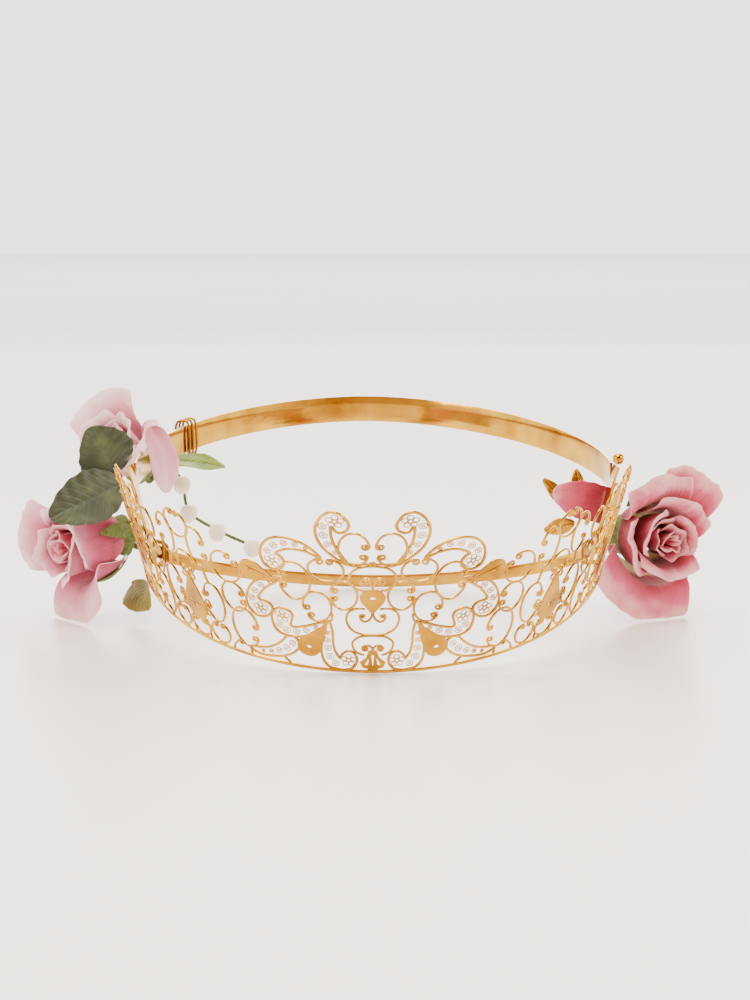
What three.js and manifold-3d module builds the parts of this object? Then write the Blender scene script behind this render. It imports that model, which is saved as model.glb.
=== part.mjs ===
// Bridal tiara: a pierced gold filigree front, bent round the brow and flared outwards, a double
// flat headband that closes the ring at the back, and fabric roses, leaves and buds wired on at
// the two joins. Everything is soldered, glued or tied, so nothing moves on it.
// Millimetres. X to the wearer's left as seen from the front, Y to the back, Z up.
// The origin is the middle of the front rail's underside, where the tiara stands on a table.
import * as THREE from 'three';
import { mergeVertices } from 'three/addons/utils/BufferGeometryUtils.js';
import Module from 'manifold-3d';

const wasm = await Module();
wasm.setup();

// ---- driving dimensions -------------------------------------------------------------------
const RING_HALF_WIDTH = 66.5; // of the front rail, at the temples
const RING_HALF_DEPTH = 86; // front rail: from the brow back to the temples
const TILT = THREE.MathUtils.degToRad(14.5); // the rail climbs this much towards the back
const FLARE = THREE.MathUtils.degToRad(14); // the filigree leans out from the ring's own axis
const CLEAR = 0.3; // gap that solder or glue fills between two pieces

const SHEET = 0.8; // filigree sheet
const RAIL_HEIGHT = 0.9;
const RAIL_DEPTH = 1.3;
const RAIL_REST = 3; // half-length of the straight stretch that the rail stands on
const SIDE_SPAN = 126; // along the rail, from the middle to the filigree's end

const WIRE = 1; // width of the filigree's wires
const DOT_RADIUS = 0.8; // pierced dot in each drop
const CENTRE_HALF_WIDTH = 40.4; // of the middle piece, along the rail
const CREST_HEIGHT = 52;
const ROSETTE_HALF_WIDTH = 12.2;
const ROSETTE_TOP = 41.5;
const LINK_WIDTH = 8.4; // narrow piece between the two rosettes of a side
const END_HEIGHT = 28; // of the end piece, where it meets the outer rosette
const END_DROP = 8; // how far its top edge falls towards the end plate

const BAND_THICKNESS = 0.8;
const REAR_BAND_WIDTH = 8.8;
const LOWER_BAND_WIDTH = 4.2;
const REAR_BAND_APEX = { x: -3, y: 178, z: 50.5 };
const LOWER_BAND_APEX = { x: 1.5, y: 145 };
const BAND_ROUNDNESS = 1.8; // 2 would be an ellipse
const REAR_BAND_SEAT = 15; // height up the end plate of the rear band's lower edge
const LOWER_BAND_SEAT = -5.5;
const END_PLATE_LENGTH = 4.5; // at its lower edge

const STEM_RADIUS = 0.9;
const WIRE_RADIUS = 0.4; // binding wire
const COIL_TURNS = 3;
const COIL_PITCH = 1.9;

const PETAL_THICKNESS = 0.6;
const PETAL_STEP = 1.15; // each petal stands this far outside the one before
const PETAL_SEAT = THREE.MathUtils.degToRad(35); // petals start this far round from the stem
const CALYX_SPREAD = THREE.MathUtils.degToRad(24);
const CALYX_TAIL = 4;
const LEAF_THICKNESS = 0.5;
const BEAD_RADIUS = 1.7;
const BUD_RADIUS = 2.7; // cream buds of the spray
const SPRAY_RADIUS = 0.5; // its stem

// ---- finishes -----------------------------------------------------------------------------
const metal = (color, roughness) => new THREE.MeshStandardMaterial({ color, roughness, metalness: 1 });
const cloth = (color) => new THREE.MeshStandardMaterial({ color, roughness: 0.85, metalness: 0 });
const gold = metal(0xe9b657, 0.25);
const paleGold = metal(0xf3c877, 0.3);
const wireGold = metal(0xc9973f, 0.35);
const rosePink = cloth(0xd9647c);
const midPink = cloth(0xdd8fa6);
const palePink = cloth(0xf0cdd6);
const darkLeaf = cloth(0x5d6b48);
const lightLeaf = cloth(0x93a53f);
const cream = cloth(0xf4ead6);

const tiara = new THREE.Group();
tiara.name = 'tiara';
const at = (x, y, z) => new THREE.Vector3(x, y, z);

function addPiece(name, geometry, material) {
  const mesh = new THREE.Mesh(geometry, material);
  mesh.name = name;
  tiara.add(mesh);
}

// ---- the filigree's surface ------------------------------------------------------------------
// u runs along the front rail from its middle, v up the sheet, w out of the sheet.
const RAIL_SAMPLES = 1200;
const railAngles = [];
const railLengths = [];
{
  let length = 0;
  let before = null;
  for (let i = 0; i <= RAIL_SAMPLES; i += 1) {
    const angle = (i / RAIL_SAMPLES) * Math.PI * 0.8;
    const point = new THREE.Vector2(
      RING_HALF_WIDTH * Math.sin(angle),
      RING_HALF_DEPTH * (1 - Math.cos(angle)),
    );
    length += before ? point.distanceTo(before) : 0;
    railAngles.push(angle);
    railLengths.push(length);
    before = point;
  }
}

function angleAt(u) {
  const length = Math.abs(u);
  const next = railLengths.findIndex((value) => value >= length);
  const i = Math.max(next, 1);
  const share = (length - railLengths[i - 1]) / (railLengths[i] - railLengths[i - 1]);
  const angle = THREE.MathUtils.lerp(railAngles[i - 1], railAngles[i], share);
  return Math.sign(u) * angle;
}

// A point beside the rail: out is level with the ring, along its outward normal, and up is
// square to the ring.
function ringPoint(u, out, up) {
  const angle = angleAt(u);
  const tangent = new THREE.Vector2(
    RING_HALF_WIDTH * Math.cos(angle),
    RING_HALF_DEPTH * Math.sin(angle),
  ).normalize();
  const x = RING_HALF_WIDTH * Math.sin(angle) + out * tangent.y;
  const back = RING_HALF_DEPTH * (1 - Math.cos(angle)) - out * tangent.x;
  return new THREE.Vector3(
    x,
    back * Math.cos(TILT) - up * Math.sin(TILT),
    back * Math.sin(TILT) + up * Math.cos(TILT),
  );
}

function sheetPoint(u, v, w) {
  const out = v * Math.sin(FLARE) + w * Math.cos(FLARE);
  const up = v * Math.cos(FLARE) - w * Math.sin(FLARE);
  return ringPoint(u, out, up);
}

// The sheet starts above the rail by the clearance, measured at its lower outer edge.
const LEAN = FLARE + TILT;
const FOOT = (RAIL_HEIGHT + CLEAR + SHEET * Math.sin(LEAN)) / Math.cos(LEAN);

// ---- closed solids from stations and from grids -------------------------------------------------
// Either hand of a piece can be made from the same stations: the faces are turned to point out.
function solidFrom(points, faces) {
  const [a, b, c] = [new THREE.Vector3(), new THREE.Vector3(), new THREE.Vector3()];
  let volume = 0;
  for (const [i, j, k] of faces) {
    a.copy(points[i]);
    b.copy(points[j]);
    c.copy(points[k]);
    volume += a.dot(b.cross(c));
  }
  const outward = volume > 0 ? faces : faces.map(([i, j, k]) => [i, k, j]);
  const geometry = new THREE.BufferGeometry();
  const flat = points.flatMap((p) => [p.x, p.y, p.z]);
  geometry.setAttribute('position', new THREE.Float32BufferAttribute(flat, 3));
  geometry.setIndex(outward.flat());
  return geometry;
}

// A bar through sections of equal corner count, each turned the same way, with flat ends.
function barThrough(sections) {
  const count = sections[0].length;
  const faces = [];
  for (let s = 0; s + 1 < sections.length; s += 1) {
    for (let k = 0; k < count; k += 1) {
      const a = s * count + k;
      const b = s * count + ((k + 1) % count);
      faces.push([a, b, b + count], [a, b + count, a + count]);
    }
  }
  const last = (sections.length - 1) * count;
  for (let k = 1; k + 1 < count; k += 1) {
    faces.push([0, k + 1, k], [last, last + k, last + k + 1]);
  }
  return solidFrom(sections.flat(), faces);
}

// A thin curved sheet: surface(a, b) for a and b from 0 to 1, thickened both ways.
function thinSheet(surface, across, along, thickness) {
  const middle = [];
  for (let j = 0; j <= along; j += 1) {
    for (let i = 0; i <= across; i += 1) middle.push(surface(i / across, j / along));
  }
  const at = (i, j) => middle[j * (across + 1) + i];
  const front = [];
  const back = [];
  for (let j = 0; j <= along; j += 1) {
    for (let i = 0; i <= across; i += 1) {
      const side = at(Math.min(i + 1, across), j).clone().sub(at(Math.max(i - 1, 0), j));
      const rise = at(i, Math.min(j + 1, along)).clone().sub(at(i, Math.max(j - 1, 0)));
      const normal = side.cross(rise).normalize().multiplyScalar(thickness / 2);
      front.push(at(i, j).clone().add(normal));
      back.push(at(i, j).clone().sub(normal));
    }
  }
  const shift = front.length;
  const index = (i, j) => j * (across + 1) + i;
  const faces = [];
  for (let j = 0; j < along; j += 1) {
    for (let i = 0; i < across; i += 1) {
      const [a, b, c, d] = [index(i, j), index(i + 1, j), index(i + 1, j + 1), index(i, j + 1)];
      faces.push([a, b, c], [a, c, d]);
      faces.push([a + shift, c + shift, b + shift], [a + shift, d + shift, c + shift]);
    }
  }
  const wall = (a, b) => faces.push([b, a, a + shift], [b, a + shift, b + shift]);
  for (let i = 0; i < across; i += 1) {
    wall(index(i, 0), index(i + 1, 0));
    wall(index(i + 1, along), index(i, along));
  }
  for (let j = 0; j < along; j += 1) {
    wall(index(across, j), index(across, j + 1));
    wall(index(0, j + 1), index(0, j));
  }
  return solidFrom([...front, ...back], faces);
}

// ---- filigree pieces: flat wires and drops joined into one sheet, then bent ----------------------
const toSolid = (geometry) => {
  geometry.deleteAttribute('normal');
  geometry.deleteAttribute('uv');
  const merged = mergeVertices(geometry);
  return new wasm.Manifold(new wasm.Mesh({
    numProp: 3,
    vertProperties: new Float32Array(merged.attributes.position.array),
    triVerts: new Uint32Array(merged.index.array),
  }));
};

// The pattern is drawn at these sizes and stretched to the driving ones.
const DRAWN = { foot: 1.9, centre: 40.4, crest: 52, rosette: 12.2, top: 41.5 };

function dotPath(middle, radius) {
  const corners = [];
  for (let i = 0; i < 6; i += 1) {
    const angle = (i / 6) * Math.PI * 2;
    corners.push(new THREE.Vector2(Math.cos(angle), Math.sin(angle)).multiplyScalar(radius).add(middle));
  }
  return new THREE.Path(corners);
}

// Draws one flat filigree piece. across stretches u, and v runs from the foot to the top.
class Filigree {
  constructor(across, drawnTop, top, ovalSteps) {
    this.across = across;
    this.ovalSteps = ovalSteps;
    this.rise = (top - FOOT) / (drawnTop - DRAWN.foot);
    this.solid = null;
  }

  place([u, v]) {
    return new THREE.Vector2(u * this.across, FOOT + (v - DRAWN.foot) * this.rise);
  }

  join(shape) {
    const options = { depth: SHEET, bevelEnabled: false, curveSegments: 1 };
    const piece = toSolid(new THREE.ExtrudeGeometry(shape, options));
    this.solid = this.solid ? this.solid.add(piece) : piece;
  }

  // A closed wire round a centre line of points.
  loop(points) {
    const count = points.length;
    const outer = [];
    const inner = [];
    for (let i = 0; i < count; i += 1) {
      const before = points[(i + count - 1) % count];
      const after = points[(i + 1) % count];
      const side = new THREE.Vector2(after.y - before.y, before.x - after.x).setLength(WIRE / 2);
      outer.push(points[i].clone().add(side));
      inner.push(points[i].clone().sub(side));
    }
    const shape = new THREE.Shape(outer);
    shape.holes.push(new THREE.Path(inner));
    this.join(shape);
  }

  oval(u, v, halfWidth, halfHeight, lean = 0) {
    const steps = this.ovalSteps;
    const turn = THREE.MathUtils.degToRad(lean);
    const points = [];
    for (let i = 0; i < steps; i += 1) {
      const angle = (i / steps) * Math.PI * 2;
      const point = new THREE.Vector2(halfWidth * Math.cos(angle), halfHeight * Math.sin(angle));
      point.rotateAround(new THREE.Vector2(), turn);
      points.push(this.place([u + point.x, v + point.y]));
    }
    this.loop(points);
  }

  // A leaf scroll: a solid outline pierced by dots, each [u, v, radius].
  leaf(corners, dots) {
    const shape = new THREE.Shape(corners.map((corner) => this.place(corner)));
    for (const [u, v, radius] of dots) shape.holes.push(dotPath(this.place([u, v]), radius));
    this.join(shape);
  }

  // A straight wire.
  bar(from, to) {
    const [start, end] = [this.place(from), this.place(to)];
    const side = new THREE.Vector2(end.y - start.y, start.x - end.x).setLength(WIRE / 2);
    this.join(new THREE.Shape([
      start.clone().add(side),
      end.clone().add(side),
      end.clone().sub(side),
      start.clone().sub(side),
    ]));
  }

  // A solid drop from its tip to its round end, with a pierced dot.
  drop(tip, centre, radius) {
    const steps = 6;
    const [point, middle] = [this.place(tip), this.place(centre)];
    const along = point.clone().sub(middle);
    const heading = along.angle();
    const outline = [point];
    const start = Math.acos(radius / along.length());
    for (let i = 0; i <= steps; i += 1) {
      const angle = heading + start + ((Math.PI * 2 - start * 2) * i) / steps;
      outline.push(new THREE.Vector2(Math.cos(angle), Math.sin(angle)).multiplyScalar(radius).add(middle));
    }
    const shape = new THREE.Shape(outline);
    shape.holes.push(dotPath(middle, DOT_RADIUS));
    this.join(shape);
  }

  // Bends the flat sheet round the ring. hand is 1 or -1.
  bent(middle = 0, hand = 1) {
    const mesh = this.solid.getMesh();
    const points = [];
    for (let i = 0; i < mesh.vertProperties.length; i += mesh.numProp) {
      const [u, v, w] = mesh.vertProperties.subarray(i, i + 3);
      points.push(sheetPoint(hand * (middle + u), v, w));
    }
    const faces = [];
    for (let i = 0; i < mesh.triVerts.length; i += 3) faces.push([...mesh.triVerts.subarray(i, i + 3)]);
    return solidFrom(points, faces);
  }
}

// Middle piece: crest, side and leaf scrolls, drops and ovals, alike on both hands.
function centreFiligree() {
  const sheet = new Filigree(CENTRE_HALF_WIDTH / DRAWN.centre, DRAWN.crest, CREST_HEIGHT, 12);
  const foot = DRAWN.foot;
  sheet.oval(0, 31.6, 5.2, 3.9);
  sheet.oval(0, 17, 6.3, 4.2);
  sheet.oval(0, 9.9, 5, 3.3);
  sheet.drop([0, 19.4], [0, 25.2], 2.8);
  sheet.leaf([[-0.8, 7.4], [0.8, 7.4], [3.2, 4.2], [3, foot], [-3, foot], [-3.2, 4.2]], []);
  for (const hand of [1, -1]) {
    const leaf = (corners, dots) => sheet.leaf(
      corners.map(([u, v]) => [hand * u, v]),
      dots.map(([u, v, radius]) => [hand * u, v, radius]),
    );
    const oval = (u, v, halfWidth, halfHeight, lean = 0) =>
      sheet.oval(hand * u, v, halfWidth, halfHeight, hand * lean);
    oval(4, 40.4, 3.3, 5.1, -8);
    oval(10.6, 33.4, 4.1, 3.6);
    oval(18, 29, 3.6, 6, 6);
    oval(6.9, 25.5, 2.9, 4.5);
    oval(13, 21.4, 3.3, 4.6, -10);
    oval(34.3, 9.8, 4, 6.2, 4);
    oval(36.3, 19.6, 3.5, 4.6);
    oval(37.2, 28.6, 4.4, 4.9);
    sheet.drop([hand * 11.6, 15.4], [hand * 16.3, 7.6], 3);
    sheet.drop([hand * 23.4, 28.4], [hand * 29.4, 29.8], 3);
    leaf(
      [[5, 35.9], [7.8, 37.6], [10.8, 41], [12, 45], [11.4, 49.2], [9, 51.4], [6.6, 50.9], [5.2, 48.4],
        [5.8, 46.2], [8.2, 46.4], [8.7, 43.6], [7.2, 40]],
      [[7, 48.6, 1], [9.6, 48.8, 1], [10.3, 45.6, 0.9], [9.6, 42.2, 0.8]],
    );
    leaf(
      [[11.6, 37], [14, 40], [17.5, 42.1], [21.5, 41.9], [24.8, 39.2], [25.8, 35.4], [24.4, 32.4],
        [21.8, 32.2], [20.2, 34], [21, 36.4], [19, 38.6], [15, 38.8]],
      [[22.8, 34.4, 1.2], [23.4, 37.6, 1], [20.8, 40, 0.9], [17.6, 40.4, 0.8]],
    );
    leaf(
      [[10.8, 17.2], [9.7, 12], [9.2, 7.6], [8.2, 5.4], [6.4, 7], [4.6, 6.2], [4, 4.2], [5.4, 2.4],
        [8.5, foot], [11.4, 3], [12.9, 6.2], [12.6, 10], [11.7, 14]],
      [[6, 4.7, 0.9], [8.8, 3.9, 0.7], [11.1, 5.4, 0.8], [11, 8.8, 0.8]],
    );
    leaf(
      [[11.8, 17.4], [15, 15], [18.5, 13.9], [20.6, 14.6], [19.9, 17], [21.6, 19.1], [24, 18.8],
        [25.4, 16.2], [25, 12.8], [22.6, 10.8], [18.5, 10.7], [15, 12.2], [12.8, 14.4]],
      [[22.2, 16.8, 1.2], [23, 13.4, 1.1], [20, 12.5, 0.8], [16.8, 13.1, 0.7]],
    );
    leaf(
      [[19.2, 10.4], [22.3, 9.8], [25, 7], [28.5, 5.2], [33.2, 4.8], [33.6, 3.4], [30, 2.8],
        [25.5, 3.2], [21.5, 5.2], [19.2, 7.8]],
      [[21, 8.2, 0.9], [23.4, 6, 0.9], [26.4, 4.6, 0.6]],
    );
    leaf(
      [[21.6, 28.9], [25.5, 28.3], [29.5, 25.6], [31.9, 21.5], [32, 17.6], [30, 15.4], [27, 15.7],
        [25.2, 18.2], [26.8, 20.3], [26.6, 23], [24, 26.4]],
      [[27.6, 17.8, 1.1], [30.2, 18.2, 0.9], [29.3, 21.6, 0.9], [27.4, 25, 0.8]],
    );
    sheet.bar([hand * 34.1, foot], [hand * 34.1, 4.4]);
  }
  return sheet.bent();
}

// Rosette: a large drop ringed by ovals, standing on three feet.
function rosetteFiligree(middle, hand) {
  const sheet = new Filigree(ROSETTE_HALF_WIDTH / DRAWN.rosette, DRAWN.top, ROSETTE_TOP, 10);
  sheet.drop([0, 22], [0, 11.4], 4.9);
  sheet.oval(0, 25.6, 3.6, 4);
  sheet.oval(0, 37, 4.4, 4);
  sheet.oval(0, 4.8, 4.2, 2.4);
  for (const side of [1, -1]) {
    sheet.oval(side * 8.3, 14.6, 3.2, 6.2);
    sheet.oval(side * 6.4, 31.6, 3, 6, side * 6);
    sheet.oval(side * 8.2, 5.2, 3.2, 2.8);
    sheet.bar([side * 7.8, 20.6], [side * 6.6, 25.8]);
  }
  return sheet.bent(middle, hand);
}

// Link: three ovals, one above the other, between two rosettes.
function linkFiligree(middle, hand) {
  const sheet = new Filigree(1, DRAWN.top, ROSETTE_TOP, 10);
  const halfWidth = (LINK_WIDTH - CLEAR - WIRE) / 2;
  sheet.oval(0, 8.8, halfWidth, 6.4);
  sheet.oval(0, 20.6, halfWidth, 5.6);
  sheet.oval(0, 31, halfWidth, 5);
  return sheet.bent(middle, hand);
}

// End piece: columns of ovals under a top edge that falls away towards the end plate.
function endFiligree(from, to, hand) {
  const sheet = new Filigree(1, END_HEIGHT, END_HEIGHT, 10);
  const columns = 3;
  const width = (to - from) / columns;
  const halfWidth = (width - WIRE) / 2 + WIRE * 0.35;
  for (let i = 0; i < columns; i += 1) {
    const u = from + WIRE / 2 + halfWidth + (i * (to - from - WIRE - halfWidth * 2)) / (columns - 1);
    const top = END_HEIGHT - END_DROP * (i / (columns - 1)) ** 2;
    const halfHeight = (top - DRAWN.foot - WIRE) / 4 + WIRE * 0.1;
    sheet.oval(u - (from + to) / 2, DRAWN.foot + WIRE / 2 + halfHeight, halfWidth, halfHeight);
    sheet.oval(u - (from + to) / 2, top - WIRE / 2 - halfHeight, halfWidth, halfHeight);
  }
  return sheet.bent((from + to) / 2, hand);
}

// ---- rail, bands and end plates ---------------------------------------------------------------
// The rail's corners are level and upright at the front, so the straight stretch has a flat,
// level underside for the tiara to stand on.
function railSection(u) {
  const corner = (out, up) =>
    ringPoint(u, out * Math.cos(TILT) - up * Math.sin(TILT), out * Math.sin(TILT) + up * Math.cos(TILT));
  return [
    corner(0, 0),
    corner(RAIL_DEPTH, 0),
    corner(RAIL_DEPTH, RAIL_HEIGHT),
    corner(0, RAIL_HEIGHT),
  ];
}

function frontRail() {
  const steps = 20;
  const side = [];
  for (let i = 0; i <= steps; i += 1) side.push(THREE.MathUtils.lerp(RAIL_REST, SIDE_SPAN, i / steps));
  const stations = [...side.map((u) => -u).reverse(), ...side];
  const front = railSection(RAIL_REST)[0];
  const sections = stations.map((u) =>
    railSection(u).map((corner) => corner.sub(new THREE.Vector3(0, 0, front.z))));
  return barThrough(sections);
}

const PLATE_START = SIDE_SPAN + CLEAR;
const plateCorner = (side, v, w) => sheetPoint(side * PLATE_START, v, w);
const PLATE_LOW = LOWER_BAND_SEAT - 0.5;
const PLATE_HIGH = REAR_BAND_SEAT + REAR_BAND_WIDTH;
const PLATE_BACK = plateCorner(1, PLATE_LOW, 0).y + END_PLATE_LENGTH;

// The plate's front edge follows the filigree's end and its rear edge is upright.
function endPlate(side) {
  const corners = [[PLATE_LOW, 0], [PLATE_LOW, SHEET], [PLATE_HIGH, SHEET], [PLATE_HIGH, 0]];
  const front = corners.map(([v, w]) => plateCorner(side, v, w));
  const back = front.map((p) => new THREE.Vector3(p.x, PLATE_BACK, p.z));
  return barThrough([front, back]);
}

// A band's lower edge as a half superellipse from one end plate to the other. t runs -1 to 1.
function bandCurve(seat, apex, width) {
  const end = plateCorner(1, seat, SHEET / 2);
  const mid = plateCorner(1, seat + width / 2, SHEET / 2);
  const start = PLATE_BACK + CLEAR;
  return (t) => {
    const angle = (t * Math.PI) / 2;
    const across = Math.sign(t) * Math.abs(Math.sin(angle)) ** (2 / BAND_ROUNDNESS);
    const rise = Math.max(Math.cos(angle), 0) ** (2 / BAND_ROUNDNESS);
    return new THREE.Vector3(
      mid.x * across + apex.x * rise,
      start + (apex.y - start) * rise,
      end.z + (apex.z - end.z) * rise,
    );
  };
}

const tangentAt = (curve, t) =>
  curve(Math.min(t + 0.002, 1)).sub(curve(Math.max(t - 0.002, -1))).normalize();

// Level, and away from the middle of the ring.
function outwardAt(curve, t) {
  const tangent = tangentAt(curve, t);
  return new THREE.Vector3(-tangent.y, tangent.x, 0).normalize();
}

function flatBand(curve, width, steps) {
  const sections = [];
  for (let i = 0; i <= steps; i += 1) {
    const t = Math.sin(((i / steps) * 2 - 1) * (Math.PI / 2));
    const low = curve(t);
    const out = outwardAt(curve, t).multiplyScalar(BAND_THICKNESS / 2);
    const high = low.clone().add(new THREE.Vector3(0, 0, width));
    sections.push([
      low.clone().sub(out),
      low.clone().add(out),
      high.clone().add(out),
      high.clone().sub(out),
    ].reverse());
  }
  return barThrough(sections);
}

// ---- stems and the wire that ties them to the bands ---------------------------------------------
function rodAlong(points, radius, sides, steps) {
  const section = new THREE.Shape();
  for (let i = 0; i < sides; i += 1) {
    const angle = (i / sides) * Math.PI * 2;
    const [x, y] = [radius * Math.cos(angle), radius * Math.sin(angle)];
    if (i === 0) section.moveTo(x, y);
    else section.lineTo(x, y);
  }
  const path = new THREE.CatmullRomCurve3(points);
  const geometry = new THREE.ExtrudeGeometry(section, { steps, bevelEnabled: false, extrudePath: path });
  geometry.deleteAttribute('normal');
  geometry.deleteAttribute('uv');
  return mergeVertices(geometry);
}

// Middle of a stem that lies along the outside of a band, halfway up it.
const STEM_OFFSET = BAND_THICKNESS / 2 + CLEAR + STEM_RADIUS;
function besideBand(curve, width, t) {
  return curve(t).add(at(0, 0, width / 2)).addScaledVector(outwardAt(curve, t), STEM_OFFSET);
}

// A few turns of wire round a band and the stem beside it, from t onwards.
function bindingCoil(curve, width, t) {
  const corner = 4; // 2 would be an ellipse
  const stepsPerTurn = 12;
  const steps = COIL_TURNS * stepsPerTurn;
  const inner = -BAND_THICKNESS / 2;
  const outer = STEM_OFFSET + STEM_RADIUS;
  const reachOut = (outer - inner) / 2 + CLEAR * 2 + WIRE_RADIUS;
  const reachUp = width / 2 + CLEAR * 3 + WIRE_RADIUS;
  const pace = curve(t + 0.01).distanceTo(curve(t)) / 0.01;
  const points = [];
  for (let i = 0; i <= steps; i += 1) {
    const here = t + (COIL_PITCH * i) / stepsPerTurn / pace;
    const angle = (i / stepsPerTurn) * Math.PI * 2;
    const [c, s] = [Math.cos(angle), Math.sin(angle)];
    const size = (Math.abs(c) ** corner + Math.abs(s) ** corner) ** (-1 / corner);
    const out = outwardAt(curve, here);
    points.push(curve(here)
      .add(at(0, 0, width / 2 + reachUp * size * s))
      .addScaledVector(out, (inner + outer) / 2 + reachOut * size * c));
  }
  return rodAlong(points, WIRE_RADIUS, 5, steps);
}

// ---- roses --------------------------------------------------------------------------------------
// Rings of points, each with its own radius and height, closed by a point at either end.
function turnedSolid(point, start, rings, end, sides) {
  const points = [point(0, 0, start)];
  for (const [radius, height] of rings) {
    for (let k = 0; k < sides; k += 1) points.push(point((k / sides) * Math.PI * 2, radius, height));
  }
  points.push(point(0, 0, end));
  const last = points.length - 1;
  const faces = [];
  for (let k = 0; k < sides; k += 1) {
    const next = (k + 1) % sides;
    faces.push([0, 1 + next, 1 + k]);
    for (let ring = 0; ring + 1 < rings.length; ring += 1) {
      const [a, b] = [1 + ring * sides + k, 1 + ring * sides + next];
      faces.push([a, b, b + sides], [a, b + sides, a + sides]);
    }
    faces.push([last - sides + k, last - sides + next, last]);
  }
  return solidFrom(points, faces);
}

// Petals are nested cups about the way the rose faces. turn is measured round that axis, from level.
class Rose {
  constructor(middle, facing, heartRadius, depth, petals) {
    this.facing = facing.normalize();
    this.across = new THREE.Vector3(0, 0, 1).cross(this.facing).normalize();
    this.up = this.facing.clone().cross(this.across);
    this.middle = middle;
    this.heartRadius = heartRadius;
    this.depth = depth; // from the middle back to the heart's seat
    this.petals = petals; // each [turn, spread, length, flare]; the last is the outermost
    this.point = this.point.bind(this);
  }

  point(turn, radius, height) {
    return this.middle.clone()
      .addScaledVector(this.across, radius * Math.cos(turn))
      .addScaledVector(this.up, radius * Math.sin(turn))
      .addScaledVector(this.facing, height);
  }

  // Distance of a petal's middle surface from the heart.
  gap(layer) {
    return CLEAR + PETAL_THICKNESS / 2 + layer * PETAL_STEP;
  }

  // The heart: petals rolled tight into one closed bud.
  heart(length) {
    const [radius, depth] = [this.heartRadius, this.depth];
    const rings = [
      [radius * 0.35, -depth * 0.8],
      [radius * 0.8, -depth * 0.45],
      [radius, length * 0.1],
      [radius * 0.9, length * 0.7],
      [radius * 0.45, length],
    ];
    return turnedSolid(this.point, -depth, rings, length, 8);
  }

  // The green seat behind the petals, tapering to the stem.
  calyx() {
    const share = Math.tan(CALYX_SPREAD);
    const ring = (gap) => [(this.heartRadius + gap) * share, -(this.depth + gap) * Math.cos(CALYX_SPREAD)];
    const front = ring(2);
    const back = ring(this.gap(this.petals.length));
    const tail = this.calyxEnd();
    const rings = [front, back, [STEM_RADIUS * 2.2, tail * 0.9 + back[1] * 0.1]];
    return turnedSolid(this.point, front[1], rings, tail, 8);
  }

  calyxEnd() {
    return -(this.depth + this.gap(this.petals.length)) * Math.cos(CALYX_SPREAD) - CALYX_TAIL;
  }

  // layer counts outwards from the heart. The rim bends out by flare and stands length ahead of the
  // middle.
  petal(layer) {
    const [turnDegrees, spreadDegrees, length, flare] = this.petals[layer];
    const radius = this.heartRadius + this.gap(layer);
    const depth = this.depth + this.gap(layer);
    const turn = THREE.MathUtils.degToRad(turnDegrees);
    const spread = THREE.MathUtils.degToRad(spreadDegrees);
    const surface = (a, b) => {
      const side = a * 2 - 1;
      const width = spread * (0.5 + 0.5 * Math.sin(0.35 + b * 2.3));
      const angle = turn + (side * width) / 2;
      if (b < 0.45) {
        const roll = THREE.MathUtils.lerp(PETAL_SEAT, Math.PI / 2, b / 0.45);
        return this.point(angle, radius * Math.sin(roll), -depth * Math.cos(roll));
      }
      const rise = (b - 0.45) / 0.55;
      const rim = 1 - 0.16 * side * side;
      return this.point(angle, radius + flare * rise * rise * rim, length * rise * rim);
    };
    return thinSheet(surface, 4, 5, PETAL_THICKNESS);
  }

  // Lets the rose down, or lifts it, until its lowest petal stands at z = 0 like the rail.
  standOnTable() {
    let lowest = Infinity;
    this.petals.forEach((_, layer) => {
      const geometry = this.petal(layer);
      geometry.computeBoundingBox();
      lowest = Math.min(lowest, geometry.boundingBox.min.z);
    });
    this.middle.z -= lowest;
    return this;
  }

  add(name, heartLength, material, heartMaterial) {
    addPiece(`${name}_heart`, this.heart(heartLength), heartMaterial);
    this.petals.forEach((_, layer) => addPiece(`${name}_petal_${layer + 1}`, this.petal(layer), material));
    addPiece(`${name}_calyx`, this.calyx(), darkLeaf);
  }

  // From the calyx round to the outside of a band, and along it under the binding wire.
  stem(curve, width, tied, bends) {
    const start = this.point(0, 0, this.calyxEnd() - CLEAR);
    const away = this.point(0, 0, this.calyxEnd() - 3);
    const run = [0, 0.02, 0.05, 0.09].map((step) => besideBand(curve, width, tied + step));
    return rodAlong([start, away, ...bends, ...run], STEM_RADIUS, 6, 14);
  }
}

// ---- leaves -------------------------------------------------------------------------------------
// A pointed leaf from its stalk to its tip. bow lifts its middle along its face's normal.
function leafBlade(stalk, tip, normal, width, bow) {
  const along = tip.clone().sub(stalk);
  const side = normal.clone().cross(along).normalize();
  const lift = along.clone().cross(side).normalize().negate();
  const surface = (a, b) => {
    const across = a * 2 - 1;
    const half = (width / 2) * (0.12 + 0.88 * Math.sin(Math.PI * b ** 0.85));
    return stalk.clone()
      .addScaledVector(along, b)
      .addScaledVector(side, across * half)
      .addScaledVector(lift, bow * (Math.sin(Math.PI * b) + 0.5 * across * across));
  };
  return thinSheet(surface, 4, 6, LEAF_THICKNESS);
}

function bud(middle, radius) {
  const profile = [[0, -1.25], [0.55, -1], [1, -0.2], [0.8, 0.6], [0.35, 1.05], [0, 1.15]];
  const outline = profile.map(([r, z]) => new THREE.Vector2(r * radius, z * radius));
  const geometry = new THREE.LatheGeometry(outline, 8);
  geometry.rotateX(Math.PI / 2);
  geometry.translate(middle.x, middle.y, middle.z);
  geometry.deleteAttribute('normal');
  geometry.deleteAttribute('uv');
  return mergeVertices(geometry);
}

const rearCurve = bandCurve(REAR_BAND_SEAT, REAR_BAND_APEX, REAR_BAND_WIDTH);
const lowerCurve = bandCurve(LOWER_BAND_SEAT, { ...LOWER_BAND_APEX, z: 0 }, LOWER_BAND_WIDTH);

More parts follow.
